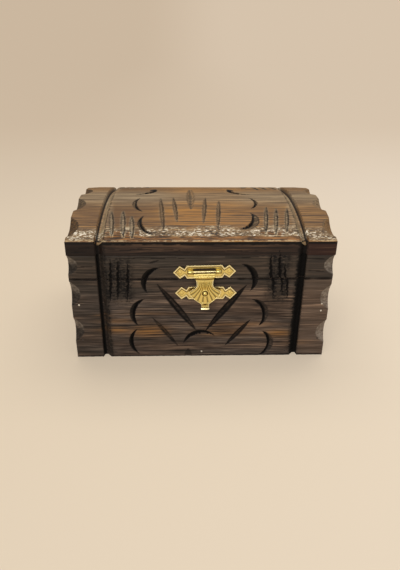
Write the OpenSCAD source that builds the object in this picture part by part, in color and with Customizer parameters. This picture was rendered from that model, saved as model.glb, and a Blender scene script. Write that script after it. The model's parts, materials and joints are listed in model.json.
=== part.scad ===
// Small carved treasure-chest jewelry box with a domed lid, a rear pair of stop
// hinges and a shell-shaped hasp. Millimetres, +Z up. The origin is the middle of
// the underside, +X runs to the right and the hasp faces -Y.

/* [Box] */
// Outside width of the box
box_w = 160; // [125:1:240]
// Outside depth of the box
box_d = 112; // [80:1:180]
// Height of the lower box, from its underside to the seam
body_h = 56; // [44:1:90]
// Thickness of the side boards
board_t = 9; // [7:0.5:12]
// Thickness of the base panel
base_t = 7; // [5:0.5:10]
// Thickness of the felt on the floor
felt_t = 1; // [0.5:0.1:2]
// Gap between the felt and the boards around it
felt_gap = 0.3; // [0.1:0.1:1]

/* [Lid] */
// Gap between the lower box and the lid
seam_gap = 0.3; // [0.2:0.05:0.6]
// Height of the rails under the lid's slab
rail_h = 15.2; // [12:0.1:25]
// Thickness of the slab along its front and back edges
slab_edge_h = 9; // [7:0.5:14]
// Rise of the slab from its front edge to its crown
crown_rise = 10; // [5:0.5:20]

/* [Straps and chips] */
// Distance from the box's end to the outer lip of a strap groove
groove_inset = 16.8; // [13:0.1:20]
// Width of a strap groove at the surface
groove_w = 5.2; // [3:0.1:7]
// Depth of a strap groove
groove_depth = 3; // [1.5:0.1:4]
// Width of the floor of a strap groove
groove_floor = 1.7; // [0.8:0.1:2.5]
// How far the groove's steep outer wall leans in
groove_lean = 0.8; // [0.3:0.1:1.5]
// How far an edge chip reaches across the carved face
chip_face = 6.2; // [3:0.1:8]
// How far an edge chip reaches across the end of the box
chip_end = 3.6; // [2:0.1:5]
// Length of the chips down the corners of the lower box
body_chip_len = 17; // [10:0.5:22]
// Length of the chips on the corners of the lid's rails
rail_chip_len = 13; // [8:0.5:15]
// Length of the chips along the ends of the dome
dome_chip_len = 21; // [12:0.5:26]
// Number of chips along each end of the dome
dome_chips = 4; // [2:1:6]

/* [Nails] */
// Radius of a panel nail's shank
nail_r = 0.6; // [0.4:0.05:0.9]
// Radius of a panel nail's head
nail_head_r = 0.8; // [0.7:0.05:1.3]
// Length of a panel nail
nail_len = 18; // [14:1:24]
// Radial gap between a nail and its hole
nail_fit = 0.02; // [0.01:0.01:0.05]
// Radius of a brass pin's shank
tack_r = 0.5; // [0.3:0.05:0.7]
// Radius of a brass pin's domed head
tack_head_r = 1.05; // [0.8:0.05:1.4]
// Height of a brass pin's domed head
tack_head_h = 0.5; // [0.3:0.05:0.8]
// Length of a brass pin's shank
tack_len = 6; // [4:0.5:6.5]

/* [Hasp] */
// Sideways place of the hasp's upper plate
hasp_x = 1.7; // [-5:0.1:5]
// Height of the upper plate's middle above the seam
hasp_rise = 5; // [4.6:0.1:8]
// How far the upper plate is turned by hand fitting, in degrees
hasp_lean = 1.4; // [0:0.1:3]
// Sideways place of the lower plate
catch_x = 2.7; // [-5:0.1:5]
// Depth of the lower plate's middle below the seam
catch_drop = 9; // [7:0.1:10]
// Half of the plates' width, to the tips of their finials
plate_half_w = 18.9; // [16:0.1:22]
// Half of the plates' height
plate_half_h = 4.2; // [3.6:0.1:5]
// Thickness of the plates
plate_t = 0.6; // [0.4:0.1:1]
// Width of the plates' raised rims
rim_w = 0.8; // [0.5:0.1:1]
// Height of the plates' raised rims
rim_h = 0.35; // [0.2:0.05:0.6]
// Radius of the hasp's pin
hasp_pin_r = 0.7; // [0.5:0.05:0.9]
// Radius of the hasp's knuckles
hasp_knuckle_r = 1.3; // [1.2:0.05:1.6]
// Distance of the hasp's pin from the board
hasp_axis_off = 1.9; // [1.7:0.1:2.5]
// Height of the hasp's pin above the plate's middle
hasp_axis_up = 0.4; // [0:0.1:1]
// Length of the flap's knuckle
flap_knuckle_len = 13; // [10:0.1:14]
// Length of each of the upper plate's knuckles
plate_knuckle_len = 3.2; // [2:0.1:4]
// Wall of the flap's shell
flap_t = 0.8; // [0.6:0.1:1.2]
// Distance from the board to the outside of the flap's crown
flap_crown = 4.4; // [4.2:0.1:5.5]
// Radius of the flap's shell
flap_arch_r = 26; // [22:0.5:32]
// Length of the flap from the pin to the end of its tab
flap_len = 24.6; // [22:0.1:28]
// Depth of the catch stud below the hasp's pin
stud_drop = 13.3; // [11.5:0.1:14]
// Radius of the catch stud
stud_r = 1.2; // [0.8:0.1:1.4]
// Gap between the catch stud and the flap's inside
stud_gap = 0.4; // [0.3:0.05:0.8]

/* [Hinges] */
// Distance of each hinge's middle from the box's middle
hinge_x = 45; // [25:1:60]
// Width of a hinge
hinge_w = 18; // [14:0.5:24]
// Length of a hinge leaf, from the pin to its end
leaf_len = 12; // [9:0.5:14]
// Thickness of a hinge leaf
leaf_t = 0.8; // [0.6:0.1:1]
// Radius of a hinge's knuckles
knuckle_r = 1.5; // [1.3:0.1:2]
// Radius of a hinge pin
pin_r = 0.75; // [0.5:0.05:0.9]
// Distance of the hinge pins behind the box's back
hinge_off = 1.8; // [1.8:0.1:2.6]
// Length of the knuckle in the middle of a hinge
mid_knuckle_len = 7; // [5:0.5:9]
// Radial gap between a pin and the knuckles it carries
pin_fit = 0.05; // [0.02:0.01:0.1]
// Gap between neighbouring knuckles, and around them
knuckle_gap = 0.3; // [0.2:0.05:0.5]
// Angle at which the hinges stop the lid
stop_angle = 110; // [95:1:120]
// Reach of a stop lug from the pin
stop_reach = 4.2; // [3.6:0.1:4.5]
// Gap left between a stop lug and the leaf it stops
stop_gap = 0.05; // [0.02:0.01:0.1]

/* [Hidden] */
$fn = 64;
eps = 0.01;

stained_dark = "#33261f";
stained_brown = "#7a5a3a";
brass = "#d8b04a";
felt_red = "#5c1418";
steel = "#8c8a86";

lid_z = body_h + seam_gap;
slab_z = lid_z + rail_h;
edge_z = slab_z + slab_edge_h;
dome_r = (box_d * box_d / 4 + crown_rise * crown_rise) / (2 * crown_rise);
dome_z = edge_z + crown_rise - dome_r;
dome_half_angle = asin(box_d / 2 / dome_r);
inner_w = box_w - 2 * board_t;
inner_d = box_d - 2 * board_t;
hasp_z = lid_z + hasp_rise;
catch_z = body_h - catch_drop;
outer_knuckle_len = (hinge_w - mid_knuckle_len) / 2 - knuckle_gap;
over = 1;

// Strokes beside the grooves, cut across the seam:
// [inset from the end, height over the seam] of the top, the same of the foot, width, depth
left_strokes = [
    [26.1, 14, 23.9, -16, 2, 1.1],
    [30.4, 13.4, 28.6, -14.7, 2, 1.1],
    [36, 10.7, 34.6, -14.7, 1.8, 1],
];
right_strokes = [
    [38.1, 18.2, 35.7, -13.4, 2, 1.1],
    [32.9, 19.4, 30.3, -12, 2, 1.1],
    [29.1, 11.7, 26.8, -14.9, 1.8, 1],
];
// Long cuts beside the hasp: [x, height over the seam] of both ends, width, depth
front_slashes = [
    [-26.6, -4, -3.2, -36, 4.6, 1.7],
    [27.5, -4.2, 3.4, -35.8, 4.8, 1.7],
    [-31, -26.1, -14.4, -48.3, 3, 1.2],
    [31.4, -28.3, 15.3, -48.3, 3.4, 1.3],
];
// Gouged crescents: [x, height over the seam] of both tips, outer and inner bulge, depth.
// A bulge is measured from the line between the tips, and is below 0 to the left.
front_crescents = [
    [-25.8, 7.6, -33.5, -9.1, -6.9, -3.6, 2.4],
    [-35.5, -13.5, -40, -32.2, -6.8, -3.6, 2.4],
    [-40.8, -35.2, -40.3, -53.6, -5.5, -3.1, 2.2],
    [24.2, 10, 30.3, -7.8, 7.1, 3.6, 2.4],
    [31.5, -14, 37.1, -32.9, 8, 4.4, 2.4],
    [39.5, -37.3, 38.5, -55, 8, 4.2, 2.2],
    [-11.2, -45.4, 8.3, -39.8, 6.4, 4.6, 1.6],
];
// Long strokes on the dome before its crown: [x, arc from the crown] of both ends, width, depth
dome_strokes = [
    [-26.2, -3.2, -22.8, -46, 2.6, 1.6],
    [-17.9, -2.2, -14.7, -37.2, 2.4, 1.3],
    [3.7, -2.2, 1.3, -38, 2.4, 1.3],
    [12.5, -8.2, 9.7, -44, 2.4, 1.4],
];
// Shorter strokes beside the grooves, repeated behind the crown
side_strokes = [
    [-56.1, -24.4, -53, -53, 2.2, 0.9],
    [-48.8, -24.4, -46.2, -53.6, 2.2, 0.9],
    [-42.8, -30.8, -41, -54.6, 2.2, 0.9],
    [42.4, -18.5, 38.2, -50.4, 2.2, 1],
    [48.5, -20.7, 44, -51.8, 2.2, 1],
    [55.5, -20.7, 50.9, -49.2, 2.2, 1],
];
// The wide cut over the crown: x, half of its length, width, depth
crown_slash = [-6, 23.3, 5.4, 1.9];
// Crescents round the crown: [x, arc from the crown] of both tips, outer and inner bulge, depth
crown_crescents = [
    [-39.6, -3.3, -36.7, -25.4, -5.6, -3.2, 2.2],
    [-30.5, 22, -43, 5.5, 6.5, 3.2, 2.3],
    [33, -3, 32.6, -21.4, 4.8, 3, 2.2],
    [20.5, 21, 34, 5, -6.5, -3.2, 2.3],
];
// Crescents near the dome's edge, repeated behind the crown
edge_crescents = [
    [-35.7, -31, -28.8, -50.4, -6.2, -3.8, 2.2],
    [31.6, -27.5, 23.4, -45.8, 8.3, 3.6, 2.3],
];
// Chips down the corners of the lower box, below the seam
left_chip_drops = [9.6, 35.1];
right_chip_drops = [12.6, 37.6];
// Height of the chips on the lid's corners above the seam
rail_chip_rise = 9.4;
// Corner nails, below the seam; the right front corner was nailed once more
corner_nail_drops = [17.5, 43];
extra_nail_drop = 22.5;
nail_head_h = 0.7;
// Base nails, from the middle of each board
base_nail_places = [-55, 0.5, 55];
// Brass pins of a hinge leaf: half of their spacing, and their distance from the hinge pin
leaf_tack_x = 5.6;
leaf_tack_up = 7.6;
// Outline of half of a plate: the finial's point, its brow, its neck and the plate's corner
finial_brow_w = 4;
finial_neck_w = 6.9;
finial_neck_h = 2.1;
plate_corner_w = 8.3;
finial_x = plate_half_w - finial_brow_w;
// Outline of half of the flap down to its tab, as [half of the width, drop from the pin]
flap_outline = [
    [6.4, 0.6], [6.3, 3], [5.7, 3.6], [5.7, 5.4], [4.9, 6.4], [4.85, 8.4], [5.3, 9.6], [6.4, 10.6],
    [8.4, 11.8], [9.7, 12.6], [10.1, 13.6], [9.8, 15], [7.6, 17.2], [3.4, 20.1], [2.6, 20.7],
];
flap_tab_w = 5.2;
flap_roll_drops = [2.4, 4.6];
flap_roll_r = 1;
flap_roll_in = 0.6;
flap_lip_r = 0.7;
flap_lip_out = 0.5;
flutes = 8;
flute_spread = 104;
flute_root = 5.6;
flute_start = 4.6;
flute_end = 13.5;
flute_r = 0.6;
flute_depth = 0.3;
stud_neck_r = 0.85;
stud_cap_h = 1.2;
boss_r = 1.5;
boss_out = 1;

function length_of(a, b) = norm([b[0] - a[0], b[1] - a[1]]);
function arc_radius(half, rise) = (half * half + rise * rise) / (2 * rise);
// Radius of the disc that cuts a stroke of this length and depth, on a face of this curvature
function disc_radius(length, depth, curve) = 1 / (8 * depth / (length * length) - curve);

// A groove with a V section that tapers to a point at each end. The surface is the XY
// plane, the wood is on +Z, and the stroke runs from a to b.
module stroke_cutter(a, b, width, depth, curve) {
    disc_r = disc_radius(length_of(a, b), depth, curve);
    rim = depth + over;
    spread = width / 2 / depth * rim;
    translate([(a[0] + b[0]) / 2, (a[1] + b[1]) / 2, depth - disc_r])
        rotate([0, 0, atan2(b[1] - a[1], b[0] - a[0])])
            rotate([90, 0, 0])
                rotate_extrude($fn = 256)
                    polygon([[disc_r, 0], [disc_r - rim, spread], [disc_r - rim, -spread]]);
}

// A crescent between two arcs through a and b: a gouge's upright wall along the inner
// arc, and a slope that rises from its foot to the outer arc. +Z is into the wood.
module crescent_cutter(a, b, outer, inner, depth) {
    half = length_of(a, b) / 2;
    side = outer < 0 ? -1 : 1;
    outer_r = arc_radius(half, abs(outer));
    inner_r = arc_radius(half, abs(inner));
    slope = (abs(outer) - abs(inner)) / depth;
    deep = depth + over;
    translate([(a[0] + b[0]) / 2, (a[1] + b[1]) / 2, 0])
        rotate([0, 0, atan2(b[1] - a[1], b[0] - a[0])])
            difference() {
                translate([0, side * (abs(outer) - outer_r), -over])
                    cylinder(r1 = outer_r + over * slope, r2 = outer_r - deep * slope, h = deep + over);
                translate([0, side * (abs(inner) - inner_r), -2 * over])
                    cylinder(r = inner_r, h = deep + 4 * over);
            }
}

// A round scoop across an edge. The edge runs along Z through the origin, and the wood
// is on -X and +Y.
module chip_cutter(length) {
    width = norm([chip_face, chip_end]);
    sagitta = chip_face * chip_end / width;
    scoop_r = arc_radius(length / 2, sagitta);
    out = [chip_end, -chip_face] * scoop_r / width;
    translate([out[0] - chip_face / 2, out[1] + chip_end / 2, 0])
        rotate([0, 0, atan2(chip_end, chip_face)])
            rotate([0, 90, 0])
                cylinder(r = scoop_r, h = 6 * width, center = true, $fn = 96);
}

// Puts the XY plane on the front, with X to the right, Y down and Z into the wood,
// and its origin at the seam.
module into_front() {
    translate([0, -box_d / 2, body_h])
        rotate([-90, 0, 0])
            children();
}

// Puts the XY plane on the dome at an arc's length from the crown, with Z into the wood
module into_dome(arc) {
    translate([0, 0, dome_z])
        rotate([-arc / dome_r * 180 / PI, 0, 0])
            translate([0, 0, dome_r])
                rotate([180, 0, 0])
                    children();
}

module mirrored_ends() {
    children();
    mirror([1, 0, 0])
        children();
}

// Section of a strap groove on the right, as X and the depth into the wood
function groove_section(lip) = [
    [lip, -over],
    [lip, 0],
    [lip - groove_lean, groove_depth],
    [lip - groove_lean - groove_floor, groove_depth],
    [lip - groove_w, 0],
    [lip - groove_w, -over],
];

module groove_on_faces() {
    for (facing = [0, 1])
        mirror([0, facing, 0])
            translate([0, -box_d / 2, -over])
                linear_extrude(edge_z + 2 * over)
                    polygon(groove_section(box_w / 2 - groove_inset));
}

module groove_on_dome() {
    translate([0, 0, dome_z])
        rotate([0, 90, 0])
            rotate_extrude($fn = 360)
                polygon([for (p = groove_section(box_w / 2 - groove_inset)) [dome_r - p[1], p[0]]]);
}

module corner_chips(right_places, left_places, length) {
    for (back = [0, 1])
        mirror([0, back, 0]) {
            for (z = right_places)
                translate([box_w / 2, -box_d / 2, z])
                    chip_cutter(length);
            for (z = left_places)
                mirror([1, 0, 0])
                    translate([box_w / 2, -box_d / 2, z])
                        chip_cutter(length);
        }
}

module body_chips() {
    corner_chips([for (d = right_chip_drops) body_h - d],
                 [for (d = left_chip_drops) body_h - d], body_chip_len);
}

module rail_chips() {
    corner_chips([body_h + rail_chip_rise], [body_h + rail_chip_rise], rail_chip_len);
}

module dome_end_chips() {
    pitch = 2 * dome_half_angle / dome_chips;
    mirrored_ends()
        for (i = [0 : dome_chips - 1])
            translate([0, 0, dome_z])
                rotate([(i + 0.5) * pitch - dome_half_angle, 0, 0])
                    translate([box_w / 2, 0, dome_r])
                        rotate([-90, 0, 0])
                            chip_cutter(dome_chip_len);
}

// The front's carving between two heights over the seam
module front_carving(low, high) {
    into_front() {
        for (s = left_strokes)
            if (s[1] > low && s[3] < high)
                stroke_cutter([s[0] - box_w / 2, -s[1]], [s[2] - box_w / 2, -s[3]], s[4], s[5], 0);
        for (s = right_strokes)
            if (s[1] > low && s[3] < high)
                stroke_cutter([box_w / 2 - s[0], -s[1]], [box_w / 2 - s[2], -s[3]], s[4], s[5], 0);
        for (s = front_slashes)
            if (s[1] > low && s[3] < high)
                stroke_cutter([s[0], -s[1]], [s[2], -s[3]], s[4], s[5], 0);
        for (c = front_crescents)
            if (max(c[1], c[3]) > low && min(c[1], c[3]) < high)
                crescent_cutter([c[0], -c[1]], [c[2], -c[3]], -c[4], -c[5], c[6]);
    }
}

module dome_stroke(s) {
    into_dome((s[1] + s[3]) / 2)
        stroke_cutter([s[0], (s[3] - s[1]) / 2], [s[2], (s[1] - s[3]) / 2], s[4], s[5], 1 / dome_r);
}

module dome_crescent(c) {
    into_dome((c[1] + c[3]) / 2)
        crescent_cutter([c[0], (c[3] - c[1]) / 2], [c[2], (c[1] - c[3]) / 2], -c[4], -c[5], c[6]);
}

module dome_carving() {
    for (back = [0, 1])
        mirror([0, back, 0]) {
            for (s = side_strokes)
                dome_stroke(s);
            for (c = edge_crescents)
                dome_crescent(c);
        }
    for (s = dome_strokes)
        dome_stroke(s);
    for (c = crown_crescents)
        dome_crescent(c);
    into_dome(0)
        stroke_cutter([crown_slash[0], -crown_slash[1]], [crown_slash[0], crown_slash[1]],
                      crown_slash[2], crown_slash[3], 1 / dome_r);
}

// A panel nail whose head is flush with the XY plane and whose shank points along +Z
module nail(gap) {
    cylinder(r = nail_head_r + gap, h = nail_head_h);
    cylinder(r = nail_r + gap, h = nail_len + gap);
}

module body_nail_set(gap) {
    for (back = [0, 1])
        mirror([0, back, 0])
            for (side = [-1, 1])
                for (drop = corner_nail_drops)
                    translate([side * (box_w - board_t) / 2, -box_d / 2, body_h - drop])
                        rotate([-90, 0, 0])
                            nail(gap);
    translate([(box_w - board_t) / 2, -box_d / 2, body_h - extra_nail_drop])
        rotate([-90, 0, 0])
            nail(gap);
}

module base_nail_set(gap) {
    for (back = [0, 1])
        mirror([0, back, 0])
            for (x = base_nail_places)
                translate([x, -box_d / 2, base_t / 2])
                    rotate([-90, 0, 0])
                        nail(gap);
    for (side = [-1, 1])
        translate([side * box_w / 2, 0, base_t / 2])
            rotate([0, -side * 90, 0])
                nail(gap);
}

// A brass pin whose shank points along -Z from the XY plane
module tack() {
    cap_r = arc_radius(tack_head_r, tack_head_h);
    translate([0, 0, -tack_len])
        cylinder(r = tack_r, h = tack_len + eps);
    intersection() {
        translate([0, 0, tack_head_h - cap_r])
            sphere(r = cap_r);
        cylinder(r = 2 * tack_head_r, h = 2 * tack_head_h);
    }
}

module tack_hole(depth) {
    translate([0, 0, -depth])
        cylinder(r = tack_r + nail_fit, h = depth + over);
}

// Puts the XY plane on the front, at the middle of the hasp's upper plate, with Z outwards
module at_hasp() {
    translate([hasp_x, -box_d / 2, hasp_z])
        rotate([90, 0, 0])
            rotate([0, 0, hasp_lean])
                children();
}

module at_catch() {
    translate([catch_x, -box_d / 2, catch_z])
        rotate([90, 0, 0])
            children();
}

module at_finials(out) {
    for (side = [-1, 1])
        translate([side * finial_x, 0, out])
            children();
}

module plate_outline() {
    quarter = [
        [plate_half_w - plate_corner_w, plate_half_h],
        [plate_half_w - finial_neck_w, finial_neck_h],
        [plate_half_w - finial_brow_w, plate_half_h],
    ];
    right = concat(quarter, [[plate_half_w, 0]], [for (i = [2 : -1 : 0]) [quarter[i][0], -quarter[i][1]]]);
    left = [for (i = [len(right) - 1 : -1 : 0]) [-right[i][0], right[i][1]]];
    polygon(concat(right, left));
}

module rimmed_plate() {
    linear_extrude(plate_t)
        plate_outline();
    linear_extrude(plate_t + rim_h)
        difference() {
            plate_outline();
            offset(delta = -rim_w)
                plate_outline();
        }
}

// The hasp's pin line, along X in the upper plate's frame
module along_hasp_pin(start) {
    translate([start, hasp_axis_up, hasp_axis_off])
        rotate([0, 90, 0])
            children();
}

// Puts the XY plane on the back at a hinge's middle, at the height of its pin, with Z outwards
module at_hinge(x) {
    translate([x, box_d / 2, body_h + seam_gap / 2])
        rotate([-90, 0, 0])
            rotate([0, 0, 180])
                children();
}

module at_leaf_tacks(up, out) {
    for (side = [-1, 1])
        translate([side * leaf_tack_x, up * leaf_tack_up, out])
            children();
}

module along_hinge_pin(start) {
    translate([start, 0, hinge_off])
        rotate([0, 90, 0])
            children();
}

// One leaf of a hinge, above its pin. The knuckles list holds [start, length].
module hinge_leaf(knuckles) {
    clear_r = knuckle_r + knuckle_gap;
    difference() {
        union() {
            translate([-hinge_w / 2, clear_r, 0])
                cube([hinge_w, leaf_len - clear_r, leaf_t]);
            for (k = knuckles) {
                translate([k[0], 0, 0])
                    cube([k[1], clear_r + eps, leaf_t]);
                along_hinge_pin(k[0])
                    cylinder(r = knuckle_r, h = k[1]);
            }
        }
        along_hinge_pin(-hinge_w)
            cylinder(r = pin_r + pin_fit, h = 2 * hinge_w);
        at_leaf_tacks(1, leaf_t)
            tack_hole(leaf_t + over);
    }
}

module lid_leaf() {
    hinge_leaf([[-mid_knuckle_len / 2, mid_knuckle_len]]);
}

// The lug stands behind the pin, along the line that the lid's leaf reaches at its stop
module body_leaf() {
    starts = [-hinge_w / 2, hinge_w / 2 - outer_knuckle_len];
    mirror([0, 1, 0])
        hinge_leaf([for (s = starts) [s, outer_knuckle_len]]);
    for (s = starts)
        translate([s, 0, hinge_off])
            rotate([stop_angle - 90, 0, 0])
                translate([0, hinge_off - leaf_t - stop_gap - leaf_t, knuckle_r - leaf_t / 2])
                    cube([outer_knuckle_len, leaf_t, stop_reach - knuckle_r + leaf_t / 2]);
}

module hinge_tacks(up) {
    at_leaf_tacks(up, leaf_t)
        tack();
}

module back_tack_holes() {
    for (side = [-1, 1])
        at_hinge(side * hinge_x)
            for (up = [-1, 1])
                at_leaf_tacks(up, 0)
                    tack_hole(tack_len);
}

module body_front() {
    color(stained_dark)
        difference() {
            translate([-box_w / 2, -box_d / 2, 0])
                cube([box_w, board_t, body_h]);
            mirrored_ends()
                groove_on_faces();
            front_carving(-body_h, 0);
            body_chips();
            body_nail_set(nail_fit);
            base_nail_set(nail_fit);
            at_catch()
                at_finials(0)
                    tack_hole(tack_len);
        }
}

module body_back() {
    color(stained_dark)
        difference() {
            translate([-box_w / 2, box_d / 2 - board_t, 0])
                cube([box_w, board_t, body_h]);
            mirrored_ends()
                groove_on_faces();
            body_chips();
            body_nail_set(nail_fit);
            base_nail_set(nail_fit);
            back_tack_holes();
        }
}

module body_end(side) {
    color(stained_dark)
        difference() {
            translate([side * (box_w - board_t) / 2 - board_t / 2, -inner_d / 2, 0])
                cube([board_t, inner_d, body_h]);
            body_nail_set(nail_fit);
            base_nail_set(nail_fit);
        }
}

module base_panel() {
    color(stained_dark)
        difference() {
            translate([-inner_w / 2, -inner_d / 2, 0])
                cube([inner_w, inner_d, base_t]);
            base_nail_set(nail_fit);
        }
}

module floor_lining() {
    color(felt_red)
        translate([felt_gap - inner_w / 2, felt_gap - inner_d / 2, base_t])
            cube([inner_w - 2 * felt_gap, inner_d - 2 * felt_gap, felt_t]);
}

module body_nails() {
    color(steel)
        difference() {
            body_nail_set(0);
            body_chips();
        }
}

module base_nails() {
    color(steel)
        base_nail_set(0);
}

module lid_slab() {
    color(stained_brown)
        difference() {
            intersection() {
                translate([-box_w / 2, -box_d / 2, slab_z])
                    cube([box_w, box_d, slab_edge_h + crown_rise + over]);
                translate([-box_w / 2 - over, 0, dome_z])
                    rotate([0, 90, 0])
                        cylinder(r = dome_r, h = box_w + 2 * over, $fn = 360);
            }
            mirrored_ends() {
                groove_on_faces();
                groove_on_dome();
            }
            dome_carving();
            dome_end_chips();
            rail_chips();
            front_carving(slab_z - body_h, edge_z - body_h);
        }
}

module lid_front_rail() {
    color(stained_dark)
        difference() {
            translate([-box_w / 2, -box_d / 2, lid_z])
                cube([box_w, board_t, rail_h]);
            mirrored_ends()
                groove_on_faces();
            front_carving(0, rail_h);
            rail_chips();
            at_hasp()
                at_finials(0)
                    tack_hole(tack_len);
        }
}

module lid_back_rail() {
    color(stained_dark)
        difference() {
            translate([-box_w / 2, box_d / 2 - board_t, lid_z])
                cube([box_w, board_t, rail_h]);
            mirrored_ends()
                groove_on_faces();
            rail_chips();
            back_tack_holes();
        }
}

module lid_end_rail(side) {
    color(stained_dark)
        translate([side * (box_w - board_t) / 2 - board_t / 2, -inner_d / 2, lid_z])
            cube([board_t, inner_d, rail_h]);
}

module hasp_plate() {
    reach = flap_knuckle_len / 2 + knuckle_gap;
    window_h = hasp_knuckle_r + knuckle_gap;
    color(brass)
        at_hasp()
            difference() {
                union() {
                    difference() {
                        rimmed_plate();
                        translate([-reach, hasp_axis_up - window_h, -over])
                            cube([2 * reach, 2 * window_h, plate_t + 2 * over]);
                    }
                    for (start = [-reach - plate_knuckle_len, reach]) {
                        along_hasp_pin(start)
                            cylinder(r = hasp_knuckle_r, h = plate_knuckle_len);
                        translate([start, hasp_axis_up - hasp_knuckle_r, 0])
                            cube([plate_knuckle_len, 2 * hasp_knuckle_r, hasp_axis_off]);
                    }
                }
                along_hasp_pin(-plate_half_w)
                    cylinder(r = hasp_pin_r + pin_fit, h = 2 * plate_half_w);
                at_finials(plate_t)
                    tack_hole(plate_t + over);
            }
}

module hasp_pin() {
    length = flap_knuckle_len + 2 * (plate_knuckle_len + knuckle_gap);
    color(brass)
        at_hasp()
            along_hasp_pin(-length / 2)
                cylinder(r = hasp_pin_r, h = length);
}

// A straight bar between two points
module bar(a, b, radius) {
    run = b - a;
    translate(a)
        rotate([0, acos(run[2] / norm(run)), atan2(run[1], run[0])])
            cylinder(r = radius, h = norm(run), $fn = 24);
}

// Distance from the board to the outside of the flap's shell, beside its middle
function shell_out(x) = flap_crown - flap_arch_r + sqrt(flap_arch_r * flap_arch_r - x * x);

module flap_shell() {
    half = concat(flap_outline, [[flap_tab_w / 2, flap_len]]);
    outline = concat(half, [for (i = [len(half) - 1 : -1 : 0]) [-half[i][0], half[i][1]]]);
    intersection() {
        translate([0, hasp_axis_up - flap_len - over, flap_crown - flap_arch_r])
            rotate([-90, 0, 0])
                difference() {
                    cylinder(r = flap_arch_r, h = flap_len + over, $fn = 180);
                    translate([0, 0, -over])
                        cylinder(r = flap_arch_r - flap_t, h = flap_len + 3 * over, $fn = 180);
                }
        linear_extrude(2 * flap_crown)
            polygon([for (p = outline) [p[0], hasp_axis_up - p[1]]]);
    }
}

// Flutes that spread over the shell like the ribs of a scallop
module flap_flutes() {
    for (i = [0 : flutes - 1]) {
        turn = flute_spread * (i / (flutes - 1) - 0.5);
        near = [flute_start * sin(turn), -flute_root - flute_start * cos(turn)];
        far = [flute_end * sin(turn), -flute_root - flute_end * cos(turn)];
        bar([near[0], hasp_axis_up + near[1], shell_out(near[0]) + flute_r - flute_depth],
            [far[0], hasp_axis_up + far[1], shell_out(far[0]) + flute_r - flute_depth], flute_r);
    }
}

module hasp_flap() {
    roll_w = 2 * flap_outline[0][0];
    color(brass)
        at_hasp()
            difference() {
                union() {
                    along_hasp_pin(-flap_knuckle_len / 2)
                        cylinder(r = hasp_knuckle_r, h = flap_knuckle_len);
                    for (drop = flap_roll_drops)
                        translate([-roll_w / 2, hasp_axis_up - drop, flap_crown - flap_roll_r - flap_roll_in])
                            rotate([0, 90, 0])
                                cylinder(r = flap_roll_r, h = roll_w);
                    difference() {
                        flap_shell();
                        flap_flutes();
                    }
                    translate([0, hasp_axis_up - stud_drop, flap_crown + boss_out - boss_r])
                        intersection() {
                            sphere(r = boss_r);
                            translate([-boss_r, -boss_r, boss_r - boss_out - flap_t / 2])
                                cube(2 * boss_r);
                        }
                    translate([-flap_tab_w / 2, hasp_axis_up - flap_len + flap_lip_r,
                               flap_crown + flap_lip_out - flap_lip_r])
                        rotate([0, 90, 0])
                            cylinder(r = flap_lip_r, h = flap_tab_w);
                }
                along_hasp_pin(-flap_knuckle_len)
                    cylinder(r = hasp_pin_r + pin_fit, h = 2 * flap_knuckle_len);
            }
}

module hasp_plate_tacks() {
    color(brass)
        at_hasp()
            at_finials(plate_t)
                tack();
}

module catch_plate() {
    color(brass)
        at_catch()
            difference() {
                rimmed_plate();
                at_finials(plate_t)
                    tack_hole(plate_t + over);
            }
}

module catch_stud() {
    stud_up = hasp_z + hasp_axis_up - stud_drop - catch_z;
    stud_h = flap_crown - flap_t - stud_gap - plate_t;
    color(brass)
        at_catch()
            translate([hasp_x - catch_x, stud_up, plate_t]) {
                cylinder(r = stud_neck_r, h = stud_h);
                translate([0, 0, stud_h - stud_cap_h])
                    cylinder(r = stud_r, h = stud_cap_h);
            }
}

module catch_plate_tacks() {
    color(brass)
        at_catch()
            at_finials(plate_t)
                tack();
}

module hinge_lid_leaf(side) {
    color(brass)
        at_hinge(side * hinge_x)
            lid_leaf();
}

module hinge_body_leaf(side) {
    color(brass)
        at_hinge(side * hinge_x)
            body_leaf();
}

module hinge_pin(side) {
    color(brass)
        at_hinge(side * hinge_x)
            along_hinge_pin(-hinge_w / 2)
                cylinder(r = pin_r, h = hinge_w);
}

module hinge_tack_set(side, up) {
    color(brass)
        at_hinge(side * hinge_x)
            hinge_tacks(up);
}

body_front();
body_back();
body_end(-1);  // body_left_end
body_end(1);  // body_right_end
base_panel();
floor_lining();
body_nails();
base_nails();
lid_slab();
lid_front_rail();
lid_back_rail();
lid_end_rail(-1);  // lid_left_rail
lid_end_rail(1);  // lid_right_rail
hasp_plate();
hasp_pin();
hasp_flap();
hasp_plate_tacks();
catch_plate();
catch_stud();
catch_plate_tacks();
hinge_lid_leaf(-1);  // left_hinge_lid_leaf
hinge_body_leaf(-1);  // left_hinge_body_leaf
hinge_pin(-1);  // left_hinge_pin
hinge_tack_set(-1, 1);  // left_hinge_lid_tacks
hinge_tack_set(-1, -1);  // left_hinge_body_tacks
hinge_lid_leaf(1);  // right_hinge_lid_leaf
hinge_body_leaf(1);  // right_hinge_body_leaf
hinge_pin(1);  // right_hinge_pin
hinge_tack_set(1, 1);  // right_hinge_lid_tacks
hinge_tack_set(1, -1);  // right_hinge_body_tacks
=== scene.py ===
"""Looks of a small carved treasure-chest jewelry box with a brass shell hasp."""

import json
import logging
import math
from dataclasses import dataclass, field
from enum import Enum
from typing import Any, Iterable, Sequence

import bmesh
import bpy
import numpy as np
from mathutils import Matrix, Vector


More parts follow.
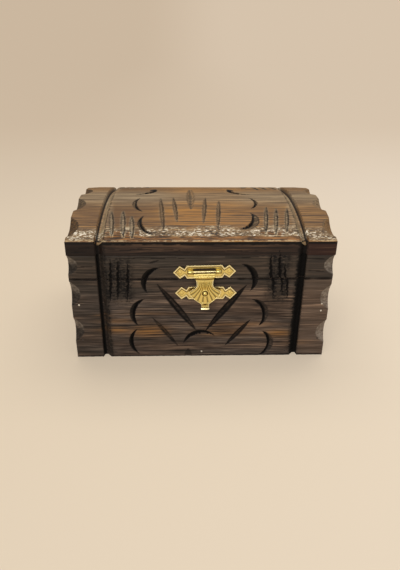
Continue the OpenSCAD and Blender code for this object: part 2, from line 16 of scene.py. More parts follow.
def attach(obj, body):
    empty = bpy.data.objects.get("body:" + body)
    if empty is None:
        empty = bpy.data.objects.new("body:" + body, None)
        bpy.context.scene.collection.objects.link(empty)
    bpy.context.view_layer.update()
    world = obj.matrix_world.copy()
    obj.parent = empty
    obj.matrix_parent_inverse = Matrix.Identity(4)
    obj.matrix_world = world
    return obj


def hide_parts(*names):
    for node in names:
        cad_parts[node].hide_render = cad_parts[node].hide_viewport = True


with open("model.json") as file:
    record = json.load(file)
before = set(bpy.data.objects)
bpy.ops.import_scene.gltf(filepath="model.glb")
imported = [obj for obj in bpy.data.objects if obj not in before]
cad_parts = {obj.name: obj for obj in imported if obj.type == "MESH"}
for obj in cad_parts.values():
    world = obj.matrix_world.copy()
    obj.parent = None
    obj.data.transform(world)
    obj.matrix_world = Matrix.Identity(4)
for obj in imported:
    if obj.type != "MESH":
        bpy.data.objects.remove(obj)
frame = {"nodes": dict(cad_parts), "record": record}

LOG = logging.getLogger("jewelry_box")
MM = 0.001
TINY = 1e-6
Array = np.ndarray
Colour = tuple[float, float, float, float]


def shade(code: str) -> Colour:
    """Turns a written sRGB colour such as "#33261f" into linear RGBA.

    Args:
        code: six hexadecimal digits after a hash sign.

    Returns:
        The linear colour with an alpha of 1.
    """
    parts = [int(code[i:i + 2], 16) / 255 for i in (1, 3, 5)]
    linear = [p / 12.92 if p <= 0.04045 else ((p + 0.055) / 1.055) ** 2.4 for p in parts]
    return (linear[0], linear[1], linear[2], 1.0)


def smooth(low: float, high: float, values: Array) -> Array:
    """Rises from 0 to 1 between two limits, in an S curve.

    Args:
        low: the value at which the result is 0.
        high: the value at which the result is 1. It may be below low.
        values: the values to grade.

    Returns:
        One number from 0 to 1 for each value.
    """
    t = np.clip((values - low) / (high - low), 0, 1)
    return t * t * (3 - 2 * t)


class Lattice:
    """Smooth random values over a plane, the same on every run."""

    def __init__(self, seed: int, cells: int = 128) -> None:
        """Draws the values at the lattice's corners.

        Args:
            seed: picks one of many lattices.
            cells: how many corners there are before the pattern repeats.
        """
        self.corners = np.random.RandomState(seed).rand(cells, cells)

    def at(self, u: Array, v: Array) -> Array:
        """Gives the value between the corners around each point.

        Args:
            u: first coordinates, in cells.
            v: second coordinates, in cells.

        Returns:
            One value from 0 to 1 for each point.
        """
        cells = len(self.corners)
        iu, iv = np.floor(u).astype(int), np.floor(v).astype(int)
        su, sv = smooth(0, 1, u - iu), smooth(0, 1, v - iv)
        near = self.corners[iu % cells, iv % cells] * (1 - su) + self.corners[(iu + 1) % cells, iv % cells] * su
        far = (self.corners[iu % cells, (iv + 1) % cells] * (1 - su)
               + self.corners[(iu + 1) % cells, (iv + 1) % cells] * su)
        return near * (1 - sv) + far * sv


class Side(Enum):
    """An end of the box, as the sign of X."""

    LEFT = -1
    RIGHT = 1


class Run(Enum):
    """The direction in which a board's grain runs."""

    ALONG_X = 0
    ALONG_Y = 1


@dataclass(frozen=True)
class BoxSizes:
    """Outside sizes of the box, in millimetres."""

    width: float = 160.0
    depth: float = 112.0
    body_height: float = 56.0
    board: float = 9.0
    base: float = 7.0
    felt: float = 1.0
    felt_gap: float = 0.3
    seam: float = 0.3
    rail: float = 15.2
    slab_edge: float = 9.0
    crown: float = 10.0

    @property
    def lid_bottom(self) -> float:
        """Height of the lid's lowest edge."""
        return self.body_height + self.seam

    @property
    def slab_bottom(self) -> float:
        """Height of the slab's flat underside."""
        return self.lid_bottom + self.rail

    @property
    def arris(self) -> float:
        """Height of the slab's front arris."""
        return self.slab_bottom + self.slab_edge

    @property
    def dome_radius(self) -> float:
        """Radius of the slab's domed top."""
        return (self.depth ** 2 / 4 + self.crown ** 2) / (2 * self.crown)

    @property
    def dome_centre(self) -> float:
        """Height of the dome's centre line."""
        return self.arris + self.crown - self.dome_radius

    @property
    def dome_arc(self) -> float:
        """Length of the arc from the crown to the front arris."""
        return self.dome_radius * math.asin(self.depth / 2 / self.dome_radius)


BOX = BoxSizes()
MARKS = ("black", "tear", "pale", "amber", "grey", "speck", "strip", "cream")
CLEAR = 9.0
AWAY = 99.0


@dataclass
class Relief:
    """What the carving does at each point of a face, as arrays of one length, in millimetres."""

    x: Array
    h: Array
    depth: Array = field(init=False)
    marks: dict[str, Array] = field(init=False)

    def __post_init__(self) -> None:
        """Starts from a flat, uncut face."""
        self.depth = np.zeros_like(self.x)
        self.marks = {name: np.zeros_like(self.x) for name in MARKS}

    def mark(self, name: str, amount: Array) -> None:
        """Leaves one of MARKS where it is stronger than what is there."""
        self.marks[name] = np.maximum(self.marks[name], amount)

    def sink(self, depth: Array) -> None:
        """Lowers the face where a cut is deeper than what is there."""
        self.depth = np.maximum(self.depth, depth)


@dataclass(frozen=True)
class Stroke:
    """A spindle-shaped cut between two points of a face, in millimetres."""

    x0: float
    h0: float
    x1: float
    h1: float
    width: float
    depth: float

    def spindle(self, relief: Relief) -> tuple[Array, Array]:
        """Measures each point against the cut.

        Args:
            relief: the face that the cut lies on.

        Returns:
            How far the cut has swelled there, and the point's place across it (-1 and 1 are its lips).
        """
        dx, dh = self.x1 - self.x0, self.h1 - self.h0
        length = math.hypot(dx, dh)
        px, ph = relief.x - (self.x0 + self.x1) / 2, relief.h - (self.h0 + self.h1) / 2
        along, across = (px * dx + ph * dh) / length, (ph * dx - px * dh) / length
        swell = np.clip(1 - (2 * along / length) ** 2, 0, 1)
        place = across / np.maximum(self.width / 2 * swell, 1e-3)
        return swell, place

    def cut(self, relief: Relief, black: float, ragged: Array | float = 1.0, worn: float = 0.0) -> None:
        """Cuts a V that is black with stain.

        Args:
            relief: the face that is cut.
            black: how black the cut is.
            ragged: how wide the black is at each point, against the cut.
            worn: how much of the black is gone from the middle.
        """
        swell, place = self.spindle(relief)
        place = np.abs(place)
        relief.sink(self.depth * swell * (1 - place))
        left = black * (1 - worn * smooth(0.5, 0.25, place))
        relief.mark("black", left * smooth(1.08, 0.8, place / ragged) * smooth(0, 0.08, swell))

    def gouge(self, relief: Relief, strength: float, scraped: float, ragged: Array | float = 1.0) -> None:
        """Cuts a shallow U with two stained lips, the left one darker with painted shade, a scraped middle and a
        greyish border.

        Args:
            relief: the face that is cut.
            strength: how strong the marks are.
            scraped: how pale the middle is.
            ragged: how much of the lips' stain is left at each point.
        """
        swell, place = self.spindle(relief)
        left = place > 0
        place = np.abs(place)
        off = np.where(swell > 0, (place - 1) * self.width / 2 * swell, CLEAR)
        relief.sink(0.8 * self.depth * swell * (1 - place ** 2))
        fade = strength * smooth(0, 0.2, swell)
        relief.mark("grey", min(1, 0.4 + 1.4 * scraped) * fade * smooth(1.1, 0.0, off))
        # The left lip is darker than the right: painted shade on the left wall.
        lips = np.where(left, 0.98, 0.25 + scraped) * np.clip(ragged, 0, 1)
        relief.mark("black", lips * fade * smooth(0.66, 0.34, np.abs(off + 0.2)))
        relief.mark("black", max(0.0, 0.36 - scraped) * fade * smooth(1.0, 0.5, place))
        relief.mark("pale", scraped * fade * smooth(0.55, 0.2, place))

    def outline(self, relief: Relief, past: Array) -> None:
        """Draws a cream edge round the cut's end, where it reaches the torn band.

        Args:
            relief: the face that is cut.
            past: how far each point is inside the band, from 0 to 1.
        """
        swell, place = self.spindle(relief)
        off = np.where(swell > 0, (np.abs(place) - 1) * self.width / 2 * swell, CLEAR)
        relief.mark("cream", past * smooth(0.42, 0.15, np.abs(off - 0.4)))
        relief.mark("strip", past * smooth(3.6, 3.0, off) * smooth(0.5, 0.7, off))


@dataclass(frozen=True)
class Crescent:
    """A gouged crescent: an upright wall on its inner arc, and a slope up to its outer arc."""

    x0: float
    h0: float
    x1: float
    h1: float
    outer: float
    inner: float
    depth: float

    def cut(self, relief: Relief, slope_shade: float, outline: float = 0.0, foot: float = 1.7) -> None:
        """Cuts the crescent into a face, with its shade painted black along the wall and over the slope.

        Args:
            relief: the face that is cut.
            slope_shade: how dark the painted shade on the slope is, away from the wall's foot.
            outline: how black the outer lip is.
            foot: how wide the painted shade along the wall is.
        """
        dx, dh = self.x1 - self.x0, self.h1 - self.h0
        length = math.hypot(dx, dh)
        side = math.copysign(1, self.outer)
        px, ph = relief.x - (self.x0 + self.x1) / 2, relief.h - (self.h0 + self.h1) / 2
        along, bulge = (px * dx + ph * dh) / length, side * (ph * dx - px * dh) / length
        outer, inner = abs(self.outer), abs(self.inner)
        outer_r = (length ** 2 / 4 + outer ** 2) / (2 * outer)
        inner_r = (length ** 2 / 4 + inner ** 2) / (2 * inner)
        room = outer_r - np.hypot(along, bulge - outer + outer_r)
        past_wall = np.hypot(along, bulge - inner + inner_r) - inner_r
        inside = (room > -0.2) & (past_wall > -0.35)
        # Painted shade: black along the wall's foot, and the slope's share of it beyond.
        share = slope_shade + (1 - slope_shade) * smooth(foot, foot - 0.6, past_wall)
        edge = outline * smooth(0.75, 0.45, room)
        relief.sink(np.where((room > 0) & (past_wall > -0.12), room * self.depth / (outer - inner), -1))
        relief.mark("black", np.where(inside, np.maximum(share, edge) * smooth(-0.15, 0.12, room), 0))
        relief.mark("grey", np.where(inside, 0.5 * smooth(-0.1, 0.3, room), 0))


@dataclass(frozen=True)
class StrapGroove:
    """The groove that runs round the box near each end, in millimetres from that end."""

    lip: float = 16.8
    width: float = 5.2
    depth: float = 3.0
    floor: float = 1.7
    lean: float = 0.8
    fray: float = 0.9
    easing: float = 0.35

    def lines(self) -> list[float]:
        """Gives the groove's edges and corners, as distances from the box's end."""
        foot = self.lip + self.lean
        return [self.lip, foot, foot + self.floor, self.lip + self.width]

    def cut(self, relief: Relief, torn: Array, on_dome: bool) -> None:
        """Cuts both grooves, and paints their shadow black: on the outer wall, and on the front faces over the floor
        and inner slope too.

        Args:
            relief: the face that is cut.
            torn: how far the inner lip is torn back at each point, from 0 to 1.
            on_dome: whether the face is the dome, where the inner slope is worn to bare wood.
        """
        lip, foot, heel, end = self.lines()
        inset = BOX.width / 2 - np.abs(relief.x)
        wall = (inset - lip) / self.lean
        top = end + self.fray * torn - self.easing
        slope = (top - inset) / (top - heel)
        depth = self.depth * np.clip(np.minimum(wall, slope), 0, 1)
        if on_dome:
            # Painted shadow: black on the outer wall, from the lip to the foot.
            black = smooth(lip - 0.5, lip - 0.1, inset) * smooth(foot + 0.75, foot + 0.35, inset)
            inner = end + self.fray * torn - 0.3
            relief.mark("black", 0.75 * smooth(0.5, 0.2, np.abs(inset - inner)) * (torn > 0.22))
            relief.mark("pale", smooth(foot + 0.6, foot + 1.1, inset) * smooth(inner, inner - 0.5, inset) * 0.42)
            relief.mark("grey", smooth(end + 4.5, end + 0.5, inset) * (inset > heel) * 0.55)
        else:
            # Painted shadow: the groove is black, lighter over the floor and inner slope at the left end.
            black = 1 - 0.68 * smooth(foot + 0.7, heel + 0.1, inset) * (relief.x < 0)
            frayed = end + 1.6 * torn
            # Painted shadow on the inner slope out to the frayed edge: strong at the right end, faint at the left.
            slope_shadow = np.where(relief.x < 0, 0.12, 0.85)
            relief.mark("black", smooth(frayed + 0.2, frayed - 0.3, inset) * (inset > heel) * slope_shadow)
            relief.mark("black", 0.7 * smooth(0.5, 0.2, np.abs(inset - end - 1.2 * torn)) * (torn > 0.15))
            relief.mark("tear", smooth(end + 3.0, end + 0.4, inset) * (inset > heel) * 0.55)
        relief.mark("black", np.where(depth > 0.02, black, 0))
        relief.sink(depth)


@dataclass(frozen=True)
class EdgeChips:
    """Scoops across an edge of the box, in millimetres."""

    face: float = 6.2
    end: float = 3.6

    def depths(self, inset: Array, along: Array, length: float) -> Array:
        """Gives the depth of one scoop below the carved face.

        Args:
            inset: distances from the box's end.
            along: distances from the scoop's middle, along the edge.
            length: length of the scoop along the edge.

        Returns:
            The depths, below 0 where the scoop does not reach.
        """
        chord = math.hypot(self.face, self.end)
        sagitta = self.face * self.end / chord
        radius = (length ** 2 / 4 + sagitta ** 2) / (2 * sagitta)
        fall = radius - np.sqrt(np.maximum(radius ** 2 - along ** 2, 0))
        depth = (self.end * (self.face - inset) - chord * fall) / self.face
        return np.where(np.abs(along) < radius, depth, -1)

    def cut(self, relief: Relief, along: Array, length: float, side: Side, wood: float, on_dome: bool = False) -> None:
        """Cuts one scoop and leaves its facet pale, as bare end grain with a painted sheen, with a painted shade at
        its foot on the left of the box.

        Args:
            relief: the face that is cut.
            along: distances from the scoop's middle, along the edge.
            length: length of the scoop along the edge.
            side: the end of the box.
            wood: how pale the facet is.
            on_dome: whether the scoop is on the dome, where its facet keeps the stain, under a painted shade that is
                darkest on the left.
        """
        depth = self.depths(BOX.width / 2 - relief.x * side.value, along, length)
        depth = np.where(relief.x * side.value > 0, depth, -1)
        inside = depth > 0
        relief.sink(depth)
        # Painted shade: over the lower part of the facet on the left of the body, and over the whole facet on the
        # dome, mostly on the left.
        if on_dome:
            dark = np.full_like(along, 0.62 if side is Side.LEFT else 0.1)
        else:
            dark = (0.8 if side is Side.LEFT else 0.0) * smooth(0.18 * length, -0.1 * length, along)
        for name in MARKS:
            relief.marks[name] = np.where(inside, 0, relief.marks[name])
        # A dark line along the scoop's shallow rim, darkest on the dome's left end with painted shade.
        lip = 0.9 if side is Side.LEFT and on_dome else 0.5
        relief.mark("black", np.where(inside, np.maximum(dark, lip * smooth(0.4, 0.1, depth)), 0))
        # The facet's pale is bare end grain with a painted sheen, paler near the rim.
        rim = smooth(0.75, 0.5, depth) * 0.3
        relief.mark("pale", np.where(inside, np.maximum(wood, rim) * (1 - dark), 0))


LEFT_STROKES = (
    (26.1, 14, 23.9, -16, 2, 1.1),
    (30.4, 13.4, 28.6, -14.7, 2, 1.1),
    (36, 10.7, 34.6, -14.7, 1.8, 1),
)
RIGHT_STROKES = (
    (38.1, 18.2, 35.7, -13.4, 2, 1.1),
    (32.9, 19.4, 30.3, -12, 2, 1.1),
    (29.1, 11.7, 26.8, -14.9, 1.8, 1),
)
SLASHES = (
    Stroke(-27.6, -2.6, -2.4, -37.1, 4.6, 1.7),
    Stroke(27.9, -3.6, 2.4, -37.1, 4.8, 1.7),
    Stroke(-31, -26.1, -14.4, -48.3, 3, 1.2),
    Stroke(31.4, -28.3, 15.3, -48.3, 3.4, 1.3),
)
FRONT_CRESCENTS = (
    Crescent(-25.8, 7.6, -33.5, -9.1, -6.9, -3.6, 2.4),
    Crescent(-35.5, -13.5, -40, -32.2, -6.8, -3.6, 2.4),
    Crescent(-40.8, -35.2, -40.3, -53.6, -5.5, -3.1, 2.2),
    Crescent(24.2, 10, 30.3, -7.8, 7.1, 3.6, 2.4),
    Crescent(31.5, -14, 37.1, -32.9, 8, 4.4, 2.4),
    Crescent(39.5, -37.3, 38.5, -55, 8, 4.2, 2.2),
    Crescent(-11.2, -45.4, 8.3, -39.8, 6.5, 3.9, 1.6),
)
SIDE_STROKES = (
    Stroke(-56.1, -24.4, -53, -53, 2.7, 0.9),
    Stroke(-48.8, -24.4, -46.2, -53.6, 2.7, 0.9),
    Stroke(-42.8, -30.8, -41, -54.6, 2.6, 0.9),
    Stroke(42.4, -18.5, 38.2, -50.4, 2.2, 1),
    Stroke(48.5, -20.7, 44, -51.8, 2.2, 1),
    Stroke(55.5, -20.7, 50.9, -49.2, 2.2, 1),
)
DOME_STROKES = (
    Stroke(-26.2, -2.6, -22.8, -48, 2.6, 1.6),
    Stroke(-17.9, -1.4, -14.7, -39, 2.4, 1.3),
    Stroke(3.7, -1.4, 1.3, -40, 2.4, 1.3),
    Stroke(12.5, -7.6, 9.7, -46.5, 2.4, 1.4),
)
CROWN_SLASH = Stroke(-6, -23.3, -6, 23.3, 5.4, 1.9)
EDGE_CRESCENTS = (
    Crescent(-35.7, -31, -28.8, -50.4, -6.2, -3.8, 2.2),
    Crescent(31.6, -27.5, 23.4, -45.8, 8.3, 3.6, 2.3),
)
CROWN_CRESCENTS = (
    Crescent(-39.6, -3.3, -36.7, -25.4, -5.6, -3.2, 2.2),
    Crescent(-30.5, 22, -43, 5.5, 6.5, 3.2, 2.3),
    Crescent(33, -3, 32.6, -21.4, 4.8, 3, 2.2),
    Crescent(20.5, 21, 34, 5, -6.5, -3.2, 2.3),
)
CHECKS = (
    Stroke(-57, 14.1, 2, 13.9, 0.7, 0.15), Stroke(12, 14.6, 44, 14.9, 0.6, 0.12), Stroke(-79, 8.6, -63, 9.0, 0.5, 0.1),
    Stroke(-30, 8.2, 25, 8.6, 0.5, 0.1), Stroke(58, 13.4, 79, 13.1, 0.6, 0.15), Stroke(60, 5.4, 76, 5.2, 0.6, 0.12),
    Stroke(-79, 5.0, -60, 4.6, 0.5, 0.1), Stroke(-77, 18.0, -67, 18.3, 1.1, 0.12),
    Stroke(-73, 20.5, -65, 20.9, 1.3, 0.12), Stroke(-20, 17.8, 40, 18.6, 0.6, 0.12),
    Stroke(-57, 19.6, -10, 19.0, 0.6, 0.12),
)
SCRATCH = Stroke(-32, 10.6, -25.4, 12.6, 1.3, 0.15)
SMUDGE = Stroke(-8.2, -49.5, -8.2, -63, 5.6, 0.1)
CROWN_CRACK = Stroke(-6.4, 20, -6.2, -24, 2.2, 0.6)
WEDGES = (Stroke(-34, 14.5, -30.2, 23, 3.4, 0), Stroke(24, 14.5, 20.2, 22, 3.4, 0))
SLASH_LOOKS = ((0.97, 0.3), (0.98, 0.12), (0.72, 0.1), (0.95, 0.1))
# How dark the painted shade on each front crescent's slope is.
CRESCENT_LOOKS = (0.9, 0.8, 0.9, 0.9, 0.55, 0.5, 1.0)
TORN_PATCHES = ((-59, -42, -16, 13), (41, 53, -15, 19))
AMBER_SPOTS = (
    (-33, -36.6, 12, 4.2, 1.0), (50, -39, 9, 2.6, 0.9), (12, -38, 16, 2.8, 0.6), (-54, -35.6, 11, 2.4, 0.8),
    (-52, -29, 14, 1.6, 0.5), (20, -32, 26, 1.6, 0.4), (-62, -25, 6, 1.2, 0.5), (64, -46, 9, 1.5, 0.4),
    (-30, -24, 22, 1.2, 0.3),
)
NAIL_SPOTS = ((-75.5, -17.5), (75.5, -17.5), (75.5, -22.5), (-75.5, -43), (75.5, -43),
              (-55, -52.5), (0.5, -52.5), (55, -52.5))


@dataclass(frozen=True)
class ChipRow:
    """The scoops down one end of the carved faces: how far each is below the seam, and how pale its facets are, as
    bare end grain with a painted sheen.
    """

    side: Side
    drops: tuple[float, float]
    wood: float


@dataclass
class Timber:
    """Builds carved boards: fine grids that the carving presses into, closed by plain sides."""

    groove: StrapGroove = StrapGroove()
    chips: EdgeChips = EdgeChips()
    chip_rows: tuple[ChipRow, ...] = (
        ChipRow(Side.RIGHT, (12.6, 37.6), 0.6),
        ChipRow(Side.LEFT, (9.6, 35.1), 0.36),
    )
    over_seam: float = 0.1
    body_chip: float = 17.0
    rail_chip: float = 13.0
    rail_chip_rise: float = 9.4
    dome_chip: float = 21.0
    dome_chip_count: int = 4
    coarse: Lattice = field(default_factory=lambda: Lattice(5))
    fine: Lattice = field(default_factory=lambda: Lattice(11))

    def columns(self, pitch: float) -> Array:
        """Spaces the columns of a face, with one on each edge of the strap grooves.

        Args:
            pitch: the usual distance between columns, in millimetres.

        Returns:
            The columns' X, in millimetres, from left to right.
        """
        half = BOX.width / 2
        xs = np.linspace(-half, half, int(BOX.width / pitch) + 1)
        for inset in (0.35, *self.groove.lines()):
            for sign in (-1, 1):
                line = sign * (half - inset)
                xs[np.argmin(np.abs(xs[1:-1] - line)) + 1] = line
        return xs

    def sheet(self, xs: Array, rows: Array) -> tuple[bmesh.types.BMesh, Array, Array]:
        """Lays out a grid of quads.

        Args:
            xs: the columns' places.
            rows: the rows' places.

        Returns:
            The mesh, and each vertex's column place and row place.
        """
        bm = bmesh.new()
        bmesh.ops.create_grid(bm, x_segments=len(xs) - 1, y_segments=len(rows) - 1, size=0.5)
        bm.verts.ensure_lookup_table()
        flat = np.array([v.co[:2] for v in bm.verts]) + 0.5
        column = np.rint(flat[:, 0] * (len(xs) - 1)).astype(int)
        row = np.rint(flat[:, 1] * (len(rows) - 1)).astype(int)
        return bm, xs[column], rows[row]

    def torn(self, relief: Relief) -> Array:
        """Gives how far the grain is torn out at each point, from 0 to 1."""
        return self.fine.at(relief.h * 1.9 + 40, relief.x * 0.25 + 9) ** 1.5

    def carve_front(self, relief: Relief) -> None:
        """Carves the hasp side.

        Args:
            relief: the face, with heights over the seam.
        """
        half = BOX.width / 2
        wander = 1.1 * (self.fine.at(relief.h * 0.9, relief.h * 0 + 3.5) - 0.5)
        ragged = 0.55 + 0.9 * self.fine.at(relief.h * 1.5 + 9, np.floor(relief.x / 3.5) * 1.37)
        ragged = ragged + 0.5 * (self.coarse.at(relief.h * 3.1, relief.x * 2.6) - 0.5)
        straight = relief.x
        relief.x = straight + wander
        for x0, h0, x1, h1, width, depth in LEFT_STROKES:
            Stroke(x0 - half, h0, x1 - half, h1, width, depth).cut(relief, 1.0, ragged)
        jog = np.where(relief.h > self.over_seam, 1.0, -0.3)
        for x0, h0, x1, h1, width, depth in RIGHT_STROKES:
            relief.x = straight + wander + jog
            Stroke(half - x0, h0, half - x1, h1, width, depth).cut(relief, 1.0, ragged)
        relief.x = straight
        for slash, (black, worn) in zip(SLASHES, SLASH_LOOKS):
            slash.cut(relief, black, 1.0, worn)
        for crescent, slope in zip(FRONT_CRESCENTS, CRESCENT_LOOKS):
            crescent.cut(relief, slope)
        SCRATCH.cut(relief, 0.7)
        SMUDGE.cut(relief, 0.6)
        sway = 0.9 * (self.coarse.at(relief.x * 0.11, relief.h * 0.05) - 0.5)
        relief.h = relief.h + sway
        for check in CHECKS:
            check.cut(relief, 0.75, 0.5 + self.fine.at(relief.x * 0.35, relief.h * 0 + check.h0))
        relief.h = relief.h - sway
        for near, far, low, high in TORN_PATCHES:
            patch = smooth(near - 4, near + 3, relief.x) * smooth(far + 3, far - 3, relief.x)
            patch = patch * smooth(low - 5, low + 5, relief.h) * smooth(high + 6, high - 4, relief.h)
            relief.mark("tear", patch)
        for x, h, rx, rh, power in AMBER_SPOTS:
            relief.mark("amber", power * np.exp(-((relief.x - x) / rx) ** 2 - ((relief.h - h) / rh) ** 2))

    def carve_faces(self, relief: Relief) -> None:
        """Cuts the strap grooves and corner chips of a front or back face.

        Args:
            relief: the face, with heights over the seam.
        """
        self.groove.cut(relief, self.torn(relief), False)
        thick = 0.15 + 0.35 * self.fine.at(relief.x * 0.25, relief.h * 0 + 31)
        relief.mark("black", 0.97 * smooth(thick + 0.3, thick, np.abs(relief.h - 0.15)))
        # Painted shadow: a black line along the board's bottom edge.
        relief.mark("black", 0.85 * smooth(1.5 * thick + 0.7, 1.5 * thick + 0.2, relief.h + BOX.body_height))
        for x, h in NAIL_SPOTS:
            away = np.hypot(relief.x - x, relief.h - h)
            relief.sink(0.12 * smooth(1.1, 0.7, away))
        above = relief.h > self.over_seam
        for row in self.chip_rows:
            for drop in row.drops:
                along = np.where(above, AWAY, relief.h + drop)
                self.chips.cut(relief, along, self.body_chip, row.side, row.wood)
            along = np.where(above, relief.h - self.rail_chip_rise, AWAY)
            self.chips.cut(relief, along, self.rail_chip, row.side, row.wood)

    def carve_dome(self, relief: Relief) -> None:
        """Carves the dome and its torn front and back edges.

        Args:
            relief: the face, with arcs from the crown in place of heights.
        """
        arcs = relief.h
        inward = BOX.dome_arc - np.abs(arcs)
        self.tear_band(relief, inward)
        ragged = 0.45 + 0.9 * self.fine.at(arcs * 0.9, relief.x * 0.3)
        relief.h = -np.abs(arcs)
        for stroke in SIDE_STROKES:
            stroke.outline(relief, smooth(11, 8, inward) * smooth(1.2, 2.2, inward))
            stroke.gouge(relief, 1.0, 0.26, ragged)
        for crescent in EDGE_CRESCENTS:
            crescent.cut(relief, 0.45, 1.0, 1.4)
        relief.h = arcs
        for stroke in DOME_STROKES:
            stroke.gouge(relief, 0.8, 0.06, ragged)
        for crescent in CROWN_CRESCENTS:
            # The crescents on the front half of the dome get less painted shade on their slope and outer lip.
            worn = crescent.h0 < 0
            crescent.cut(relief, 0.2 if worn else 1.0, 0.75 if worn else 1.0, 1.2)
        for wedge in WEDGES:
            wedge.cut(relief, 1.0)
        CROWN_SLASH.gouge(relief, 0.3, 0.3)
        CROWN_CRACK.cut(relief, 0.55, 0.5 + self.fine.at(arcs * 0.5, arcs * 0 + 4))
        self.groove.cut(relief, self.torn(relief), True)
        pitch = 2 * BOX.dome_arc / self.dome_chip_count
        for side in Side:
            for i in range(self.dome_chip_count):
                along = arcs - (i + 0.5) * pitch + BOX.dome_arc
                sunk = np.where(np.abs(along) < pitch, along ** 2 / (2 * BOX.dome_radius), 0)
                before = relief.depth.copy()
                self.chips.cut(relief, along, self.dome_chip, side, 0.08, True)
                relief.depth = np.where(relief.depth > before, np.maximum(relief.depth - sunk, before), relief.depth)
        glow = np.exp(-((relief.x - 2) / 34) ** 2) * smooth(2, 14, np.abs(arcs))
        relief.mark("amber", glow * (relief.marks["black"] < 0.1))
        # Painted reflection: greyer near the crown, more so towards the ends.
        relief.mark("grey", smooth(24, 3, np.abs(arcs)) * (0.5 + 0.35 * smooth(14, 34, np.abs(relief.x - 4))))

    def tear_band(self, relief: Relief, inward: Array) -> None:
        """Marks the torn band along the dome's front and back edges: flakes of torn grain with painted glints of
        light, an orange strip and cream lines.

        Args:
            relief: the dome.
            inward: the distance of each point from the nearer edge.
        """
        drift = 3.4 * (self.coarse.at(relief.x * 0.13, inward * 0 + 2) - 0.5)
        drift = drift + 1.6 * (self.fine.at(relief.x * 0.6, inward * 0.4) - 0.5)
        outer = np.abs(relief.x) > BOX.width / 2 - self.groove.lip
        low = np.where(outer, 1.2, 5.2) + 1.1 * (self.fine.at(relief.x * 0.5 + 5, inward * 0 + 7) - 0.5)
        fringe, core = smooth(16.0, 12.0, inward + drift), smooth(11.6, 10.0, inward + 0.6 * drift)
        # Flakes of torn grain, which the finish paints with bright glints: a painted highlight on the lid's rounded
        # front.
        speck = (0.55 * fringe + 0.45 * core) * smooth(low - 0.8, low + 0.6, inward)
        relief.mark("speck", speck * np.where(outer, 0.8, 1))
        relief.mark("strip", smooth(low + 0.5, low - 0.7, inward) * smooth(0.9, 1.5, inward))
        broken = smooth(0.3, 0.5, self.fine.at(relief.x * 0.42, inward * 0 + 3))
        relief.mark("cream", broken * smooth(1.75, 1.1, inward) * smooth(0.15, 0.5, inward))
        thin = smooth(0.5, 0.7, self.fine.at(relief.x * 0.3 + 3, inward * 0.5 + 60))
        relief.mark("cream", 0.7 * thin * smooth(0.7, 0.3, np.abs(inward - low - 0.2)))

    def finish(self, bm: bmesh.types.BMesh, name: str, relief: Relief, top: Array) -> bpy.types.Object:
        """Turns a finished bmesh into an object and writes what the carving left on it.

        Args:
            bm: the mesh, in millimetres.
            name: the new object's name.
            relief: the carving, one value for each of the mesh's first vertices.
            top: how much of each of those vertices belongs to the lit top of the lid.

        Returns:
            The object, at the origin.
        """
        bmesh.ops.recalc_face_normals(bm, faces=bm.faces)
        bmesh.ops.scale(bm, vec=(MM, MM, MM), verts=bm.verts)
        mesh = bpy.data.meshes.new(name)
        bm.to_mesh(mesh)
        bm.free()
        marks = relief.marks
        for attribute, channels in (("carve", (marks["black"], marks["tear"], marks["pale"])),
                                    ("stain", (marks["amber"], marks["grey"], top)),
                                    ("band", (marks["speck"], marks["strip"], marks["cream"]))):
            values = np.ones((len(mesh.vertices), 4), np.float32)
            for i, channel in enumerate(channels):
                values[:, i] = 0
                values[:len(channel), i] = channel
            layer = mesh.attributes.new(attribute, "FLOAT_COLOR", "POINT")
            layer.data.foreach_set("color", values.ravel())
        piece = bpy.data.objects.new(name, mesh)
        bpy.context.scene.collection.objects.link(piece)
        return piece

    def board(self, name: str, low: float, high: float, back: bool, pitch: float) -> bpy.types.Object:
        """Makes a front or back board.

        Args:
            name: the new object's name.
            low: height of the board's lower edge.
            high: height of its upper edge.
            back: whether the board is at the back of the box.
            pitch: distance between the grid's lines.

        Returns:
            The board, with its carved face in slot 0, its edges in slot 1 and its rear face in slot 2.
        """
        rows = np.linspace(low, high, int((high - low) / pitch) + 1)
        rows[1], rows[-2] = low + 0.3, high - 0.3
        xs = self.columns(pitch)
        bm, x, z = self.sheet(xs, rows)
        relief = Relief(x=-x if back else x, h=z - BOX.body_height)
        if not back:
            self.carve_front(relief)
        self.carve_faces(relief)
        rim = (np.abs(x) > BOX.width / 2 - 0.01) | (z < low + 0.01) | (z > high - 0.01)
        chip = 0.22 + 0.25 * self.fine.at(x * 0.7, z * 0.7)
        relief.depth = relief.depth + np.where(rim, chip, 0)
        sides = bmesh.ops.extrude_edge_only(bm, edges=[e for e in bm.edges if e.is_boundary])
        rear = [v for v in sides["geom"] if isinstance(v, bmesh.types.BMVert)]
        loop = [e for e in sides["geom"] if isinstance(e, bmesh.types.BMEdge) and e.is_boundary]
        closing = bmesh.ops.contextual_create(bm, geom=loop)
        plain = closing["faces"] + [f for f in sides["geom"] if isinstance(f, bmesh.types.BMFace)]
        side = 1 if back else -1
        bm.verts.ensure_lookup_table()
        count = len(x)
        face_y = side * (BOX.depth / 2 - relief.depth)
        for i in range(count):
            bm.verts[i].co = (x[i], face_y[i], z[i])
        self.place_rear(rear, xs, rows, side * (BOX.depth / 2 - BOX.board))
        self.smooth_face(bm, plain)
        for f in closing["faces"]:
            f.material_index = 2
        return self.finish(bm, name, relief, np.zeros(count))

